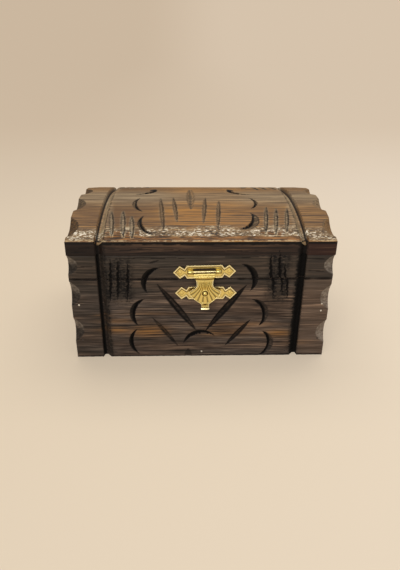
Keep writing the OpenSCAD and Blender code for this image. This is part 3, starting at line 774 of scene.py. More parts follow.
    @staticmethod
    def place_rear(rear: Iterable[bmesh.types.BMVert], xs: Array, rows: Array, y: float) -> None:
        """Puts the rear ring of a board on its back plane.

        Args:
            rear: the ring's vertices, still at their grid places.
            xs: the columns' places.
            rows: the rows' places.
            y: the back plane.
        """
        for v in rear:
            column = int(round((v.co.x + 0.5) * (len(xs) - 1)))
            row = int(round((v.co.y + 0.5) * (len(rows) - 1)))
            v.co = (xs[column], y, rows[row])

    @staticmethod
    def smooth_face(bm: bmesh.types.BMesh, plain: Sequence[bmesh.types.BMFace]) -> None:
        """Shades the carved face smoothly and its plain sides flat, with a sharp edge between them.

        Args:
            bm: the board's mesh.
            plain: its plain sides.
        """
        sides = set(plain)
        for f in bm.faces:
            f.smooth = f not in sides
        for f in sides:
            f.material_index = 1
            for e in f.edges:
                e.smooth = False

    def slab(self, name: str, pitch: float) -> bpy.types.Object:
        """Makes the lid's thick domed board, with its front and back edges.

        Args:
            name: the new object's name.
            pitch: distance between the grid's lines.

        Returns:
            The slab, with its carved faces in slot 0, its ends in slot 1 and its underside in slot 2.
        """
        arc, edge, radius = BOX.dome_arc, BOX.slab_edge, BOX.dome_radius
        face = np.linspace(0, edge, int(edge / pitch) + 1)[:-1]
        dome = np.linspace(-arc, arc, int(2 * arc / pitch) + 1)
        dome[1], dome[-2] = -arc + 0.35, arc - 0.35
        rows = np.concatenate([face - arc - edge, dome, arc + edge - face[::-1]])
        xs = self.columns(pitch)
        bm, x, a = self.sheet(xs, rows)
        on_dome = np.abs(a) <= arc + TINY
        front, rear = self.carve_edges(x, a)
        top = Relief(x=x, h=np.clip(a, -arc, arc))
        self.carve_dome(top)
        for part in MARKS:
            edges = np.where(a > 0, rear.marks[part], front.marks[part])
            top.marks[part] = np.where(on_dome, top.marks[part], edges)
        top.depth = np.where(on_dome, top.depth, np.where(a > 0, rear.depth, front.depth))
        angle = np.clip(a, -arc, arc) / radius
        arris = np.abs(np.abs(a) - arc) < TINY
        lean = np.where(arris, np.sign(a) * 0.9, np.where(on_dome, angle, np.sign(a) * math.pi / 2))
        ragged = 0.2 + 0.4 * self.fine.at(x * 0.8, a * 0.8) * self.coarse.at(x * 0.21, a)
        depth = top.depth + np.where(arris, ragged, 0)
        depth = depth + np.where((np.abs(x) > BOX.width / 2 - 0.01) | (np.abs(a) > arc + edge - 0.01), 0.2, 0)
        depth = depth + np.where(on_dome & ~arris, self.rough_band(x, a), 0)
        skin_y = radius * np.sin(angle)
        skin_z = np.where(on_dome, BOX.dome_centre + radius * np.cos(angle), BOX.arris + arc - np.abs(a))
        y, z = skin_y - depth * np.sin(lean), skin_z - depth * np.cos(lean)
        bm.verts.ensure_lookup_table()
        for i in range(len(x)):
            bm.verts[i].co = (x[i], y[i], z[i])
        self.close_slab(bm, x, a)
        return self.finish(bm, name, top, on_dome.astype(float))

    def carve_edges(self, x: Array, a: Array) -> tuple[Relief, Relief]:
        """Carves the slab's front and back edges, as if each went on over the dome.

        Args:
            x: each vertex's column place.
            a: each vertex's row place.

        Returns:
            The front edge's carving and the back edge's.
        """
        level = BOX.arris - BOX.body_height + BOX.dome_arc - np.abs(a)
        front, rear = Relief(x=x, h=level), Relief(x=x, h=level)
        self.carve_front(front)
        front.marks["amber"] *= 0
        self.carve_faces(front)
        self.carve_faces(rear)
        shadow = BOX.dome_arc + 1.5 + 0.9 * self.fine.at(x * 0.5, 0 * x + 8) * (np.abs(x) < 62) - np.abs(a)
        for relief in (front, rear):
            relief.mark("black", smooth(-0.35, 0.25, shadow) * (1 - 0.3 * (x < -62)))
        return front, rear

    def rough_band(self, x: Array, a: Array) -> Array:
        """Gives the torn, lumpy surface along the dome's front and back edges.

        Args:
            x: each vertex's column place.
            a: each vertex's row place.

        Returns:
            Depths below the dome, in millimetres.
        """
        band = smooth(13, 7, BOX.dome_arc - np.abs(a))
        lumps = self.fine.at(x * 0.9, a * 1.1) * 0.6 + self.coarse.at(x * 0.35 + 7, a * 0.7) * 0.4
        return 0.02 + 0.5 * band * lumps

    @staticmethod
    def close_slab(bm: bmesh.types.BMesh, x: Array, a: Array) -> None:
        """Closes the slab's two ends and its underside.

        Args:
            bm: the slab's skin.
            x: each vertex's column place.
            a: each vertex's row place.
        """
        half, reach = BOX.width / 2, float(np.max(a))
        corner = {}
        for i in np.flatnonzero((np.abs(np.abs(x) - half) < TINY) & (np.abs(np.abs(a) - reach) < TINY)):
            corner[(x[i] > 0, a[i] > 0)] = bm.verts[int(i)]
        skin = list(bm.faces)
        rims = [e for e in bm.edges if e.is_boundary]
        ends = {e: (x[e.verts[0].index], x[e.verts[1].index]) for e in rims}
        on_end = {e: abs(abs(one) - half) < TINY and abs(one - other) < TINY for e, (one, other) in ends.items()}
        sills = []
        for right in (False, True):
            sill = bm.edges.new((corner[(right, False)], corner[(right, True)]))
            sills.append(sill)
            column = [e for e in rims if on_end[e] and (x[e.verts[0].index] > 0) == right]
            bmesh.ops.contextual_create(bm, geom=column + [sill])
        bmesh.ops.contextual_create(bm, geom=[e for e in rims if not on_end[e]] + sills)
        carved = set(skin)
        for f in bm.faces:
            f.smooth = f in carved
            if f not in carved:
                level = max(abs(v.co.x - f.verts[0].co.x) for v in f.verts)
                f.material_index = 1 if level < 1 else 2
                for e in f.edges:
                    e.smooth = False


Number = "Val | float"


class Val:
    """A shader socket that takes part in Python arithmetic."""

    def __init__(self, shop: "Shader", socket: bpy.types.NodeSocket) -> None:
        """Wraps a socket.

        Args:
            shop: the shader that the socket belongs to.
            socket: an output that holds a number, vector or colour.
        """
        self.shop = shop
        self.socket = socket

    def math(self, operation: str, first: Number, second: Number) -> "Val":
        """Adds one Math node and returns its result."""
        return self.shop.node("ShaderNodeMath", {"operation": operation}, {0: first, 1: second})

    def __add__(self, other: Number) -> "Val":
        """Adds."""
        return self.math("ADD", self, other)

    def __radd__(self, other: Number) -> "Val":
        """Adds, from the right."""
        return self.math("ADD", other, self)

    def __sub__(self, other: Number) -> "Val":
        """Subtracts."""
        return self.math("SUBTRACT", self, other)

    def __rsub__(self, other: Number) -> "Val":
        """Subtracts, from the right."""
        return self.math("SUBTRACT", other, self)

    def __mul__(self, other: Number) -> "Val":
        """Multiplies."""
        return self.math("MULTIPLY", self, other)

    def __rmul__(self, other: Number) -> "Val":
        """Multiplies, from the right."""
        return self.math("MULTIPLY", other, self)

    def ramp(self, low: float, high: float) -> "Val":
        """Rises from 0 to 1 between two limits, in an S curve.

        Args:
            low: the value at which the result is 0.
            high: the value at which the result is 1. It may be below low.

        Returns:
            The graded number.
        """
        flip = low > high
        limits = (high, low) if flip else (low, high)
        graded = self.shop.node("ShaderNodeMapRange", {"interpolation_type": "SMOOTHSTEP"},
                                {"Value": self, "From Min": limits[0], "From Max": limits[1]})
        return 1 - graded if flip else graded


class Shader:
    """One material's node tree."""

    def __init__(self, name: str) -> None:
        """Starts an empty material.

        Args:
            name: the material's name.
        """
        self.material = bpy.data.materials.new(name)
        self.material.use_nodes = True
        self.tree = self.material.node_tree
        self.tree.nodes.clear()
        coordinates = self.tree.nodes.new("ShaderNodeTexCoord")
        self.place = Val(self, coordinates.outputs["Object"])

    def node(self, kind: str, settings: dict[str, Any], sockets: dict[Any, Any], output: Any = 0) -> Val:
        """Adds a node.

        Args:
            kind: the node's type.
            settings: its settings, which are set first.
            sockets: the value or link of each input, by name or number.
            output: the output to return, by name or number.

        Returns:
            The output.
        """
        made = self.tree.nodes.new(kind)
        for key, value in settings.items():
            setattr(made, key, value)
        for key, value in sockets.items():
            if isinstance(value, Val):
                self.tree.links.new(value.socket, made.inputs[key])
            else:
                made.inputs[key].default_value = value
        return Val(self, made.outputs[output])

    def scaled(self, vector: Val, factors: Sequence[float]) -> Val:
        """Scales a vector along each axis."""
        return self.node("ShaderNodeVectorMath", {"operation": "MULTIPLY"}, {0: vector, 1: tuple(factors)})

    def shifted(self, vector: Val, offset: Val) -> Val:
        """Adds one vector to another."""
        return self.node("ShaderNodeVectorMath", {"operation": "ADD"}, {0: vector, 1: offset})

    def axis(self, vector: Val, name: str) -> Val:
        """Takes one axis of a vector."""
        return self.node("ShaderNodeSeparateXYZ", {}, {0: vector}, name)

    def vector(self, x: Number, y: Number, z: Number) -> Val:
        """Puts a vector together from three numbers."""
        return self.node("ShaderNodeCombineXYZ", {}, {0: x, 1: y, 2: z})

    def noise(self, vector: Val, scale: float, detail: float = 2.0, rough: float = 0.5, bend: float = 0.0) -> Val:
        """Gives smooth noise from 0 to 1 over a vector."""
        return self.node("ShaderNodeTexNoise", {"noise_dimensions": "3D"},
                         {"Vector": vector, "Scale": scale, "Detail": detail, "Roughness": rough, "Distortion": bend})

    def cloud(self, factors: Sequence[float], detail: float = 2.0, rough: float = 0.5, bend: float = 0.0) -> Val:
        """Gives smooth noise over the piece, as fine along each axis as the factors say."""
        return self.noise(self.scaled(self.place, factors), 1.0, detail, rough, bend)

    def stops(self, value: Val, stops: Sequence[tuple[float, Colour]]) -> Val:
        """Grades a number through colours.

        Args:
            value: the number, from 0 to 1.
            stops: places and colours, in rising order.

        Returns:
            The colour.
        """
        made = self.tree.nodes.new("ShaderNodeValToRGB")
        elements = made.color_ramp.elements
        while len(elements) < len(stops):
            elements.new(0.5)
        for element, (where, colour) in zip(elements, stops):
            element.position, element.color = where, colour
        self.tree.links.new(value.socket, made.inputs[0])
        return Val(self, made.outputs[0])

    def mix(self, share: Number, base: Any, over: Any) -> Val:
        """Blends two colours."""
        return self.node("ShaderNodeMix", {"data_type": "RGBA"}, {0: share, 6: base, 7: over}, 2)

    def attribute(self, name: str) -> tuple[Val, Val, Val]:
        """Reads three channels that a piece carries on its vertices.

        Args:
            name: the attribute's name.

        Returns:
            Its three channels.
        """
        colour = self.node("ShaderNodeAttribute", {"attribute_name": name}, {}, "Color")
        split = self.tree.nodes.new("ShaderNodeSeparateColor")
        self.tree.links.new(colour.socket, split.inputs[0])
        return Val(self, split.outputs[0]), Val(self, split.outputs[1]), Val(self, split.outputs[2])

    def bump(self, height: Val, distance: float, strength: float = 1.0, over: Val | None = None) -> Val:
        """Raises a height over the surface.

        Args:
            height: the height, from 0 to 1.
            distance: what a height of 1 stands for, in metres.
            strength: how much of the bump shows.
            over: a normal that the bump lies on.

        Returns:
            The new normal.
        """
        sockets: dict[str, Any] = {"Height": height, "Distance": distance, "Strength": strength}
        if over is not None:
            sockets["Normal"] = over
        return self.node("ShaderNodeBump", {}, sockets)

    def finish(self, **sockets: Any) -> bpy.types.Material:
        """Ends the tree in a Principled surface.

        Args:
            sockets: its inputs, with underscores for spaces.

        Returns:
            The material.
        """
        surface = self.node("ShaderNodeBsdfPrincipled", {},
                            {key.replace("_", " "): value for key, value in sockets.items()})
        self.node_output(surface)
        return self.material

    def node_output(self, surface: Val) -> None:
        """Ends the tree in a given surface."""
        made = self.tree.nodes.new("ShaderNodeOutputMaterial")
        self.tree.links.new(surface.socket, made.inputs["Surface"])


@dataclass(frozen=True)
class Stain:
    """The colours of a stained and brushed softwood, from its pores to its ridges."""

    tones: tuple[str, ...]
    cut: str
    scraped: str
    grey_haze: str


@dataclass(frozen=True)
class Woodwork:
    """Dresses stained, wire-brushed boards."""

    grey_dark: Stain = Stain(("#1f1a17", "#3a322d", "#504640", "#6f6257"), "#080605", "#8a8176", "#4a4540")
    brown_dark: Stain = Stain(("#231b17", "#44372f", "#5e4d41", "#8b7360"), "#080605", "#8a8176", "#4a4540")
    worn: Stain = Stain(("#48331f", "#6b4e30", "#886339", "#a67f4b"), "#0d0806", "#b3a183", "#857866")
    edge: Stain = Stain(("#120c0a", "#271c18", "#3a2b23", "#5a4535"), "#070504", "#8a8176", "#4a4540")

    def grain(self, shader: Shader, run: Run, wander: float) -> tuple[Val, Val, Val]:
        """Draws long streaks of grain.

        Args:
            shader: the material's shader.
            run: the direction of the grain.
            wander: how far a streak strays sideways, in metres.

        Returns:
            Fine brush lines, the yearly rings' bands, and broad patches, each from 0 to 1.
        """
        lengthwise = (1, 0, 0) if run is Run.ALONG_X else (0, 1, 0)
        drift = shader.cloud((14, 14, 30), 1.0)
        slide = (drift - 0.5) * wander
        place = shader.shifted(shader.place, shader.vector(slide * lengthwise[1], slide * lengthwise[0], slide))

        def stretched(along: float, across: float) -> Val:
            """Scales the place so that noise on it runs in streaks."""
            return shader.scaled(place, [along if axis else across for axis in lengthwise])

        fine = shader.noise(stretched(36, 1000), 1.0, 3.0, 0.65)
        rings = shader.noise(stretched(12, 440), 1.0, 2.0, 0.6)
        broad = shader.noise(stretched(11, 90), 1.0, 2.0, 0.5)
        return fine, rings, broad

    @staticmethod
    def tones(shader: Shader, line: Val, stain: Stain, low: float, high: float) -> Val:
        """Grades the grain through a stain's tones.

        Args:
            shader: the material's shader.
            line: the grain.
            stain: the stain.
            low: the grain's value at the darkest tone.
            high: its value at the lightest tone.

        Returns:
            The colour.
        """
        last = len(stain.tones) - 1
        return shader.stops(line, [(low + (high - low) * i / last, shade(t)) for i, t in enumerate(stain.tones)])

    def face(self, name: str) -> bpy.types.Material:
        """Makes the near-black carved finish of the box's faces.

        Args:
            name: the material's name.

        Returns:
            The material.
        """
        shader, stain = Shader(name), self.grey_dark
        black, tear, pale = shader.attribute("carve")
        amber, grey, _ = shader.attribute("stain")
        fine, rings, broad = self.grain(shader, Run.ALONG_X, 0.0022)
        # Stained grain, with paler ridges and amber patches.
        line = fine * 0.74 + rings * 0.26
        colour = shader.mix(broad.ramp(0.40, 0.60), self.tones(shader, line, self.grey_dark, 0.37, 0.65),
                            self.tones(shader, line, self.brown_dark, 0.37, 0.65))
        colour = shader.mix(fine.ramp(0.62, 0.72) * 0.4, colour, shade("#8b705b"))
        glow = amber * line.ramp(0.36, 0.60)
        colour = shader.mix(glow * 0.85, colour, shade("#946732"))
        # Slow changes over the face: smokier near the seam and at the left end, paler at the body's right end.
        height = shader.axis(shader.place, "Z")
        colour = shader.mix(height.ramp(0.040, 0.055) * 0.38, colour, shade("#34302a"))
        colour = shader.mix(height.ramp(0.0555, 0.057) * 0.35, colour, shade("#322c26"))
        across = shader.axis(shader.place, "X")
        colour = shader.mix(across.ramp(-0.054, -0.062) * 0.3, colour, shade("#2c2621"))
        right, rail = across.ramp(0.060, 0.066), height.ramp(0.0558, 0.0568)
        colour = shader.mix(right * (1 - rail) * 0.25, colour, shade("#7d6757"))
        colour = shader.mix(right * rail * 0.55, colour, shade("#312c29"))
        # What the carving left. Black is stain in the cuts and checks, and painted shade in the grooves, crescents and
        # the left chips, with a painted shadow along the bottom edge; pale is bare end grain on the chips, with a
        # painted sheen.
        colour = shader.mix(grey * 0.6, colour, shade(stain.grey_haze))
        colour, bark = self.torn(shader, colour, tear)
        colour = shader.mix(black, colour, shade(stain.cut))
        dust = shader.cloud((380, 380, 520), 2.0)
        bare = shader.mix((fine * 0.6 + dust * 0.4).ramp(0.4, 0.6), shade("#6f6358"), shade("#9a9085"))
        colour = shader.mix(pale * (dust * 0.9 + 0.45), colour, bare)
        normal = shader.bump(fine * 0.7 + rings * 0.4 + bark, 0.0004, 0.8)
        rough = 0.5 + fine * 0.15 + black * 0.3
        return shader.finish(Base_Color=colour, Roughness=rough, Normal=normal, Specular_IOR_Level=0.18)

    @staticmethod
    def torn(shader: Shader, colour: Val, tear: Val) -> tuple[Val, Val]:
        """Breaks the surface into bark-like flakes where the grain is torn.

        Args:
            shader: the material's shader.
            colour: the wood's colour.
            tear: how torn the grain is.

        Returns:
            The new colour, and the height of the flakes.
        """
        flakes = shader.cloud((420, 420, 950), 2.0, 0.55, 0.4)
        strips = shader.cloud((480, 480, 130), 1.5, 0.5)
        mixed = flakes * 0.6 + strips * 0.4
        colour = shader.mix(tear * 0.7, colour, shade("#27221e"))
        colour = shader.mix(tear * mixed.ramp(0.53, 0.44) * 0.9, colour, shade("#0b0808"))
        colour = shader.mix(tear * flakes.ramp(0.60, 0.70) * 0.35, colour, shade("#64564a"))
        return colour, tear * flakes * 1.4

    def band(self, shader: Shader, colour: Val) -> tuple[Val, Val]:
        """Draws the torn band along the lid's front: flakes of torn grain with painted glints of light, an orange
        strip and cream lines.

        Args:
            shader: the material's shader.
            colour: the wood's colour.

        Returns:
            The new colour, and how much of each point is flaked.
        """
        speck, strip, cream = shader.attribute("band")
        grit = shader.cloud((500, 1250, 1250), 2.0, 0.6)
        patch = shader.cloud((170, 320, 320), 1.0)
        mixed = grit * 0.75 + patch * 0.25
        colour = shader.mix(speck * 0.6, colour, shade("#7d6b52"))
        colour = shader.mix(speck * mixed.ramp(0.47, 0.40) * 0.95, colour, shade("#30241a"))
        # Painted highlight: cream and near-white glints on the flakes.
        colour = shader.mix(speck.ramp(0.1, 0.6) * mixed.ramp(0.52, 0.57) * 0.75, colour, shade("#bdac8c"))
        colour = shader.mix(speck.ramp(0.45, 0.95) * mixed.ramp(0.56, 0.60), colour, shade("#e8dfcf"))
        long = shader.cloud((120, 1100, 1100), 1.5, 0.6)
        rust = shader.stops(long, [(0.38, shade("#1f1107")), (0.5, shade("#5f3d18")), (0.62, shade("#926331"))])
        colour = shader.mix(strip * 0.93, colour, rust)
        colour = shader.mix(cream * grit.ramp(0.38, 0.52) * 0.8, colour, shade("#c0a67e"))
        return colour, speck * mixed

    def top(self, name: str) -> bpy.types.Material:
        """Makes the lid's finish: worn brown on the dome, near-black on its edges.

        Args:
            name: the material's name.

        Returns:
            The material.
        """
        shader, stain = Shader(name), self.worn
        black, tear, pale = shader.attribute("carve")
        amber, grey, lit = shader.attribute("stain")
        fine, rings, broad = self.grain(shader, Run.ALONG_X, 0.0009)
        # Worn brown grain with the fine comb of the wire brush.
        phase = shader.axis(shader.place, "Y") * 3200 + rings * 17
        comb = shader.node("ShaderNodeMath", {"operation": "SINE"}, {0: phase})
        line = fine * 0.62 + rings * 0.14 + comb * 0.07 + 0.12
        colour = self.tones(shader, line, stain, 0.40, 0.61)
        colour = shader.mix(amber * (line * 0.6 + broad * 0.4).ramp(0.44, 0.58) * 0.7, colour, shade("#a06a1c"))
        colour = shader.mix((1 - amber) * 0.3, colour, shade("#553b22"))
        colour = shader.mix(fine.ramp(0.40, 0.32) * 0.65, colour, shade("#49351f"))
        across = shader.axis(shader.place, "X")
        between = across.ramp(-0.012, -0.045) * (1 - across.ramp(-0.054, -0.058))
        colour = shader.mix(between * 0.5, colour, shade("#4a3018"))
        # The slab's front and back edges, which keep the dark stain.
        edge = self.tones(shader, fine * 0.5 + rings * 0.5, self.edge, 0.38, 0.64)
        edge = shader.mix(across.ramp(0.055, 0.066) * 0.45, edge, shade("#331510"))
        edge = shader.mix(across.ramp(-0.056, -0.062) * 0.8, edge, shade("#170d0a"))
        lit = lit.ramp(0.35, 0.65)
        colour = shader.mix(lit, edge, colour)
        # What the carving left. Grey is a haze round the cuts and grooves, and near the crown a painted reflection;
        # the torn band has painted glints; black is stain in the cuts, with painted shade in the grooves, crescents
        # and left chips, and a painted shadow under the arris.
        dust = shader.cloud((380, 420, 420), 2.0, 0.7)
        grey_haze = shader.mix(line.ramp(0.42, 0.6), shade("#64533f"), shade("#a39276"))
        # Near the crown this grey is a painted reflection.
        colour = shader.mix(grey * lit * 0.8, colour, grey_haze)
        colour, flaked = self.band(shader, colour)
        colour = shader.mix(tear * (1 - lit) * 0.5, colour, shade("#17110e"))
        colour = shader.mix(pale * (dust * 1.8 - 0.25), colour, shade(stain.scraped))
        colour = shader.mix(black, colour, shade(stain.cut))
        normal = shader.bump(fine * 0.45 + rings * 0.5 + flaked * 2.0, 0.0004, 0.75)
        rough = 0.46 + fine * 0.18 - flaked * 0.1 + black * 0.2
        return shader.finish(Base_Color=colour, Roughness=rough, Normal=normal, Specular_IOR_Level=0.22)

    def sawn(self, shader: Shader, stain: Stain) -> Val:
        """Draws the sawn end of a board: bowed yearly rings, closed by fine pores.

        Args:
            shader: the material's shader.
            stain: the stain, which end grain drinks up.

        Returns:
            The colour.
        """
        drift = shader.cloud((20, 26, 40), 2.0)
        heart = shader.vector(0.0, shader.axis(shader.place, "Y") * 0.8, shader.axis(shader.place, "Z") + 0.06)
        radius = shader.node("ShaderNodeVectorMath", {"operation": "LENGTH"}, {0: heart}, "Value") + drift * 0.006
        rings = shader.noise(shader.vector(0.0, 0.0, radius * 620), 1.0, 2.0, 0.6)
        pores = shader.cloud((0, 1900, 1900), 2.0, 0.6)
        return self.tones(shader, rings * 0.62 + pores * 0.38, stain, 0.3, 0.8)

    def plain(self, name: str, run: Run, stain: Stain) -> bpy.types.Material:
        """Makes the flat-brushed finish of a side that nobody carves.

        Args:
            name: the material's name.
            run: the direction of the grain.
            stain: the stain.

        Returns:
            The material.
        """
        shader = Shader(name)
        fine, rings, broad = self.grain(shader, run, 0.003)
        line = fine * 0.4 + rings * 0.6 + (broad - 0.5) * 0.3
        colour = self.tones(shader, line, stain, 0.32, 0.72)
        if run is Run.ALONG_X:
            across = shader.axis(shader.place, "X")
            outer = (across * across).ramp(0.0764 ** 2, 0.0780 ** 2)
            colour = shader.mix(outer, colour, self.sawn(shader, stain))
        normal = shader.bump(fine * 0.5 + rings * 0.7, 0.0003, 0.7)
        return shader.finish(Base_Color=colour, Roughness=0.5 + fine * 0.2, Normal=normal, Specular_IOR_Level=0.3)


@dataclass(frozen=True)
class HaspSizes:
    """Sizes of the hasp, in millimetres. The lean and the wrap round the pin are in degrees."""

    x: float = 1.7
    rise: float = 5.0
    plate: float = 0.6
    lean: float = 1.4
    pin_up: float = 0.4
    pin_out: float = 1.9
    knuckle_r: float = 1.3
    knuckle_half: float = 6.5
    wrap: float = 318.0
    wrap_rows: int = 21
    drop_rows: int = 150
    columns: int = 140
    crown: float = 4.4
    arch_r: float = 26.0
    neck: float = 3.15
    roll: float = 0.7
    length: float = 24.2
    sheet: float = 0.5
    stud_drop: float = 13.3
    boss_r: float = 1.35
    boss_rise: float = 1.15
    boss_seat: float = 1.8
    boss_rim: float = 2.5
    flute_depth: float = 0.42
    rolls: tuple[float, ...] = (1.15, 2.8)
    outline: tuple[tuple[float, float], ...] = (
        (0.0, 6.4), (0.9, 6.4), (2.7, 6.3), (3.3, 5.8), (4.6, 5.45), (6.0, 5.0), (8.0, 4.9), (9.2, 5.25),
        (10.2, 6.1), (11.1, 7.4), (12.0, 8.8), (12.9, 9.8), (13.6, 10.05), (14.6, 9.8), (15.6, 9.1), (17.2, 7.3),
        (18.8, 5.0), (20.2, 3.0), (20.8, 2.3), (22.6, 2.2), (23.2, 2.5), (24.6, 2.5),
    )
    flow: tuple[tuple[float, float], ...] = (
        (0.0, 5.6), (6.0, 5.4), (8.0, 5.7), (9.5, 6.6), (10.6, 7.8), (11.5, 9.2), (13.0, 12.0), (16.0, 18.0),
        (24.6, 35.0),
    )
    flutes: int = 10


@dataclass(frozen=True)
class BrassFinish:
    """Bright stamped brass, tarnished in its hollows and polished on its rims, with painted shade and painted
    highlights.
    """

    bright: str = "#f0da88"
    deep: str = "#c39f4c"
    polish_and_highlight: str = "#fff3c4"
    tarnish: str = "#4a2f0a"
    rough: float = 0.22

    def material(self, name: str) -> bpy.types.Material:
        """Makes the finish.

        Args:
            name: the material's name.

        Returns:
            The material.
        """
        shader = Shader(name)
        # First channel: tarnished hollows and painted shade; second: polished rims with painted highlights.
        line, polish_and_highlight, _ = shader.attribute("tarnish")
        patch = shader.cloud((300, 300, 300), 3.0, 0.6)
        colour = shader.mix(patch.ramp(0.5, 0.72) * 0.35, shade(self.bright), shade(self.deep))
        colour = shader.mix(polish_and_highlight * 0.8, colour, shade(self.polish_and_highlight))
        colour = shader.mix(line, colour, shade(self.tarnish))
        scratch = shader.cloud((2600, 2600, 500), 2.0)
        normal = shader.bump(scratch * 0.4 + patch * 0.6, 0.00004, 0.6)
        rough = self.rough + patch * 0.1 + line * 0.25
        return shader.finish(Base_Color=colour, Metallic=1.0, Roughness=rough, Normal=normal)


@dataclass(frozen=True)
class Brasswork:
    """Builds the hasp's flap and its two plates."""

    sizes: HaspSizes = HaspSizes()

    def plate_frame(self, x: Array, drop: Array, out: Array) -> Array:
        """Places points of the flap on the box.

        Args:
            x: distances to the right of the flap's middle.
            drop: distances below the hasp's pin.
            out: distances from the board.

        Returns:
            The points, in millimetres, one row each.
        """
        s, lean = self.sizes, math.radians(self.sizes.lean)
        up = s.pin_up - drop
        return np.stack([s.x + x * math.cos(lean) - up * math.sin(lean), -BOX.depth / 2 - out,
                         BOX.lid_bottom + s.rise + x * math.sin(lean) + up * math.cos(lean)], axis=1)

    def shell(self, x: Array, drop: Array, width: Array) -> tuple[Array, Array]:
        """Gives the outside of the flap: mouldings, a fluted shell, a boss and a curled tab.

        Args:
            x: distances to the right of the flap's middle.
            drop: distances below the hasp's pin.
            width: half of the flap's width at that drop.

        Returns:
            Distances from the board, and how dark each point is, from 0 to 1: tarnished hollows, with painted shade
            under the pin, in the tab's hollow and above its curled lip.
        """
        s = self.sizes
        # Two rolls under the pin, which run out into the shell's arch.
        arch = s.crown - s.arch_r + np.sqrt(s.arch_r ** 2 - x ** 2)
        neck = s.neck + 0 * x
        for roll in s.rolls:
            neck = neck + s.roll * np.exp(-((drop - roll) / 0.55) ** 2)
        out = neck + (arch - neck) * smooth(4.4, 9.6, drop)
        sag = drop - 0.5 * (1 - (x / 6) ** 2)
        dark = 0.6 * np.exp(-((drop - 1.9) / 0.22) ** 2) + 1.1 * np.exp(-((sag - 4.0) / 0.36) ** 2)
        # Painted shade just under the pin, where the knuckle meets the sheet.
        dark = dark + 1.3 * np.exp(-((drop - 0.15) / 0.45) ** 2)
        # The flutes, which fan out below the neck and end at a plain rim.
        stream = np.array(s.flow)
        turn = np.arctan(1.6 * x / np.interp(drop, stream[:, 0], stream[:, 1])) / math.atan(1.6)
        ribs = 0.5 - 0.5 * np.cos(2 * math.pi * (turn * s.flutes / 2 + 0.5))
        body = smooth(4.8, 6.4, sag) * smooth(20.4, 19.2, drop)
        margin = (width - np.abs(x)) * np.where(drop > 9, 0.72, 1.0)
        body = body * smooth(0.35, 0.8, margin)
        out = out - s.flute_depth * body * (1 - ribs) ** 1.3
        dark = np.maximum(dark, 0.7 * body * smooth(0.36, 0.08, ribs))
        rim = smooth(0.16, 0.04, np.abs(margin - 0.72)) * smooth(5.6, 7.0, drop) * smooth(20.8, 19.6, drop)
        dark = np.maximum(dark, 0.75 * rim)
        # The boss over the stud, in a sunk ring.
        boss = np.hypot(x, drop - s.stud_drop)
        out = np.where(boss < s.boss_rim, out + smooth(s.boss_rim, 2.2, boss) * (arch - 0.05 - out), out)
        seat = arch - 0.3
        out = np.where(boss < s.boss_seat, seat, out)
        ball = seat + s.boss_rise * np.sqrt(np.maximum(1 - (boss / s.boss_r) ** 2, 0))
        out = np.where(boss < s.boss_r, ball, out)
        ring = smooth(0.42, 0.2, np.abs(boss - 1.6))
        dark = np.where(boss < 2.4, ring, dark)
        # The tab, hollow in the middle and curled at its tip.
        hollow = smooth(2.1, 1.6, np.abs(x)) * smooth(20.2, 20.9, drop) * smooth(23.0, 22.5, drop)
        out = out - 0.5 * hollow
        # Painted shade in the hollow, darkest in its upper part.
        dark = np.maximum(dark, hollow * (0.4 + 0.6 * smooth(21.7, 21.2, drop + 0.35 * x ** 2)))
        curl = smooth(23.1, 24.1, drop)
        # Painted shade: a dark line just above the curled lip.
        dark = np.maximum(dark, 0.9 * smooth(0.35, 0.15, np.abs(drop - 23.05)))
        return out + 0.5 * curl ** 1.5, np.clip(dark, 0, 1)

    def flap(self, name: str) -> bpy.types.Object:
        """Makes the flap from one sheet that is curled round the hasp's pin.

        Args:
            name: the new object's name.

        Returns:
            The flap.
        """
        s = self.sizes
        curl = np.linspace(math.radians(s.wrap), 0, s.wrap_rows + 1)[:-1]
        drops = np.linspace(0, s.length, s.drop_rows)
        columns = np.linspace(-1, 1, s.columns + 1)
        bm = bmesh.new()
        bmesh.ops.create_grid(bm, x_segments=s.columns, y_segments=len(curl) + len(drops) - 1, size=0.5)
        bm.verts.ensure_lookup_table()
        flat = np.array([v.co[:2] for v in bm.verts]) + 0.5
        column = columns[np.rint(flat[:, 0] * s.columns).astype(int)]
        row = np.rint(flat[:, 1] * (len(curl) + len(drops) - 1)).astype(int)
        angle = np.concatenate([curl, 0 * drops])[row]
        drop = np.concatenate([0 * curl, drops])[row]
        edges = np.array(s.outline)
        width = np.interp(drop, edges[:, 0], edges[:, 1])
        width = np.where(row < len(curl), s.knuckle_half, width)
        x = column * width
        out, dark = self.shell(x, drop, width)
        wrap = row < len(curl)
        out = np.where(wrap, s.pin_out + s.knuckle_r * np.cos(angle), out)
        start = s.pin_out + s.knuckle_r
        out = np.where(wrap, out, start + (out - start) * smooth(0.1, 1.6, drop))
        below = np.where(wrap, -s.knuckle_r * np.sin(angle), drop)
        places = self.plate_frame(x, below, out)
        for v, place in zip(bm.verts, places):
            v.co = place
        for f in bm.faces:
            f.smooth = True
        bmesh.ops.recalc_face_normals(bm, faces=bm.faces)
        bm.normal_update()
        front = min(bm.faces, key=lambda f: f.calc_center_median().y)
        if front.normal.y > 0:
            bmesh.ops.reverse_faces(bm, faces=bm.faces)
        bmesh.ops.scale(bm, vec=(MM, MM, MM), verts=bm.verts)
        piece = put(bm, name)
        # Bright: the shell's edges, and a painted highlight along the curled lip.
        bright = np.maximum(smooth(0.75, 0.35, width - np.abs(x)) * (drop > 5), smooth(23.4, 23.7, drop))
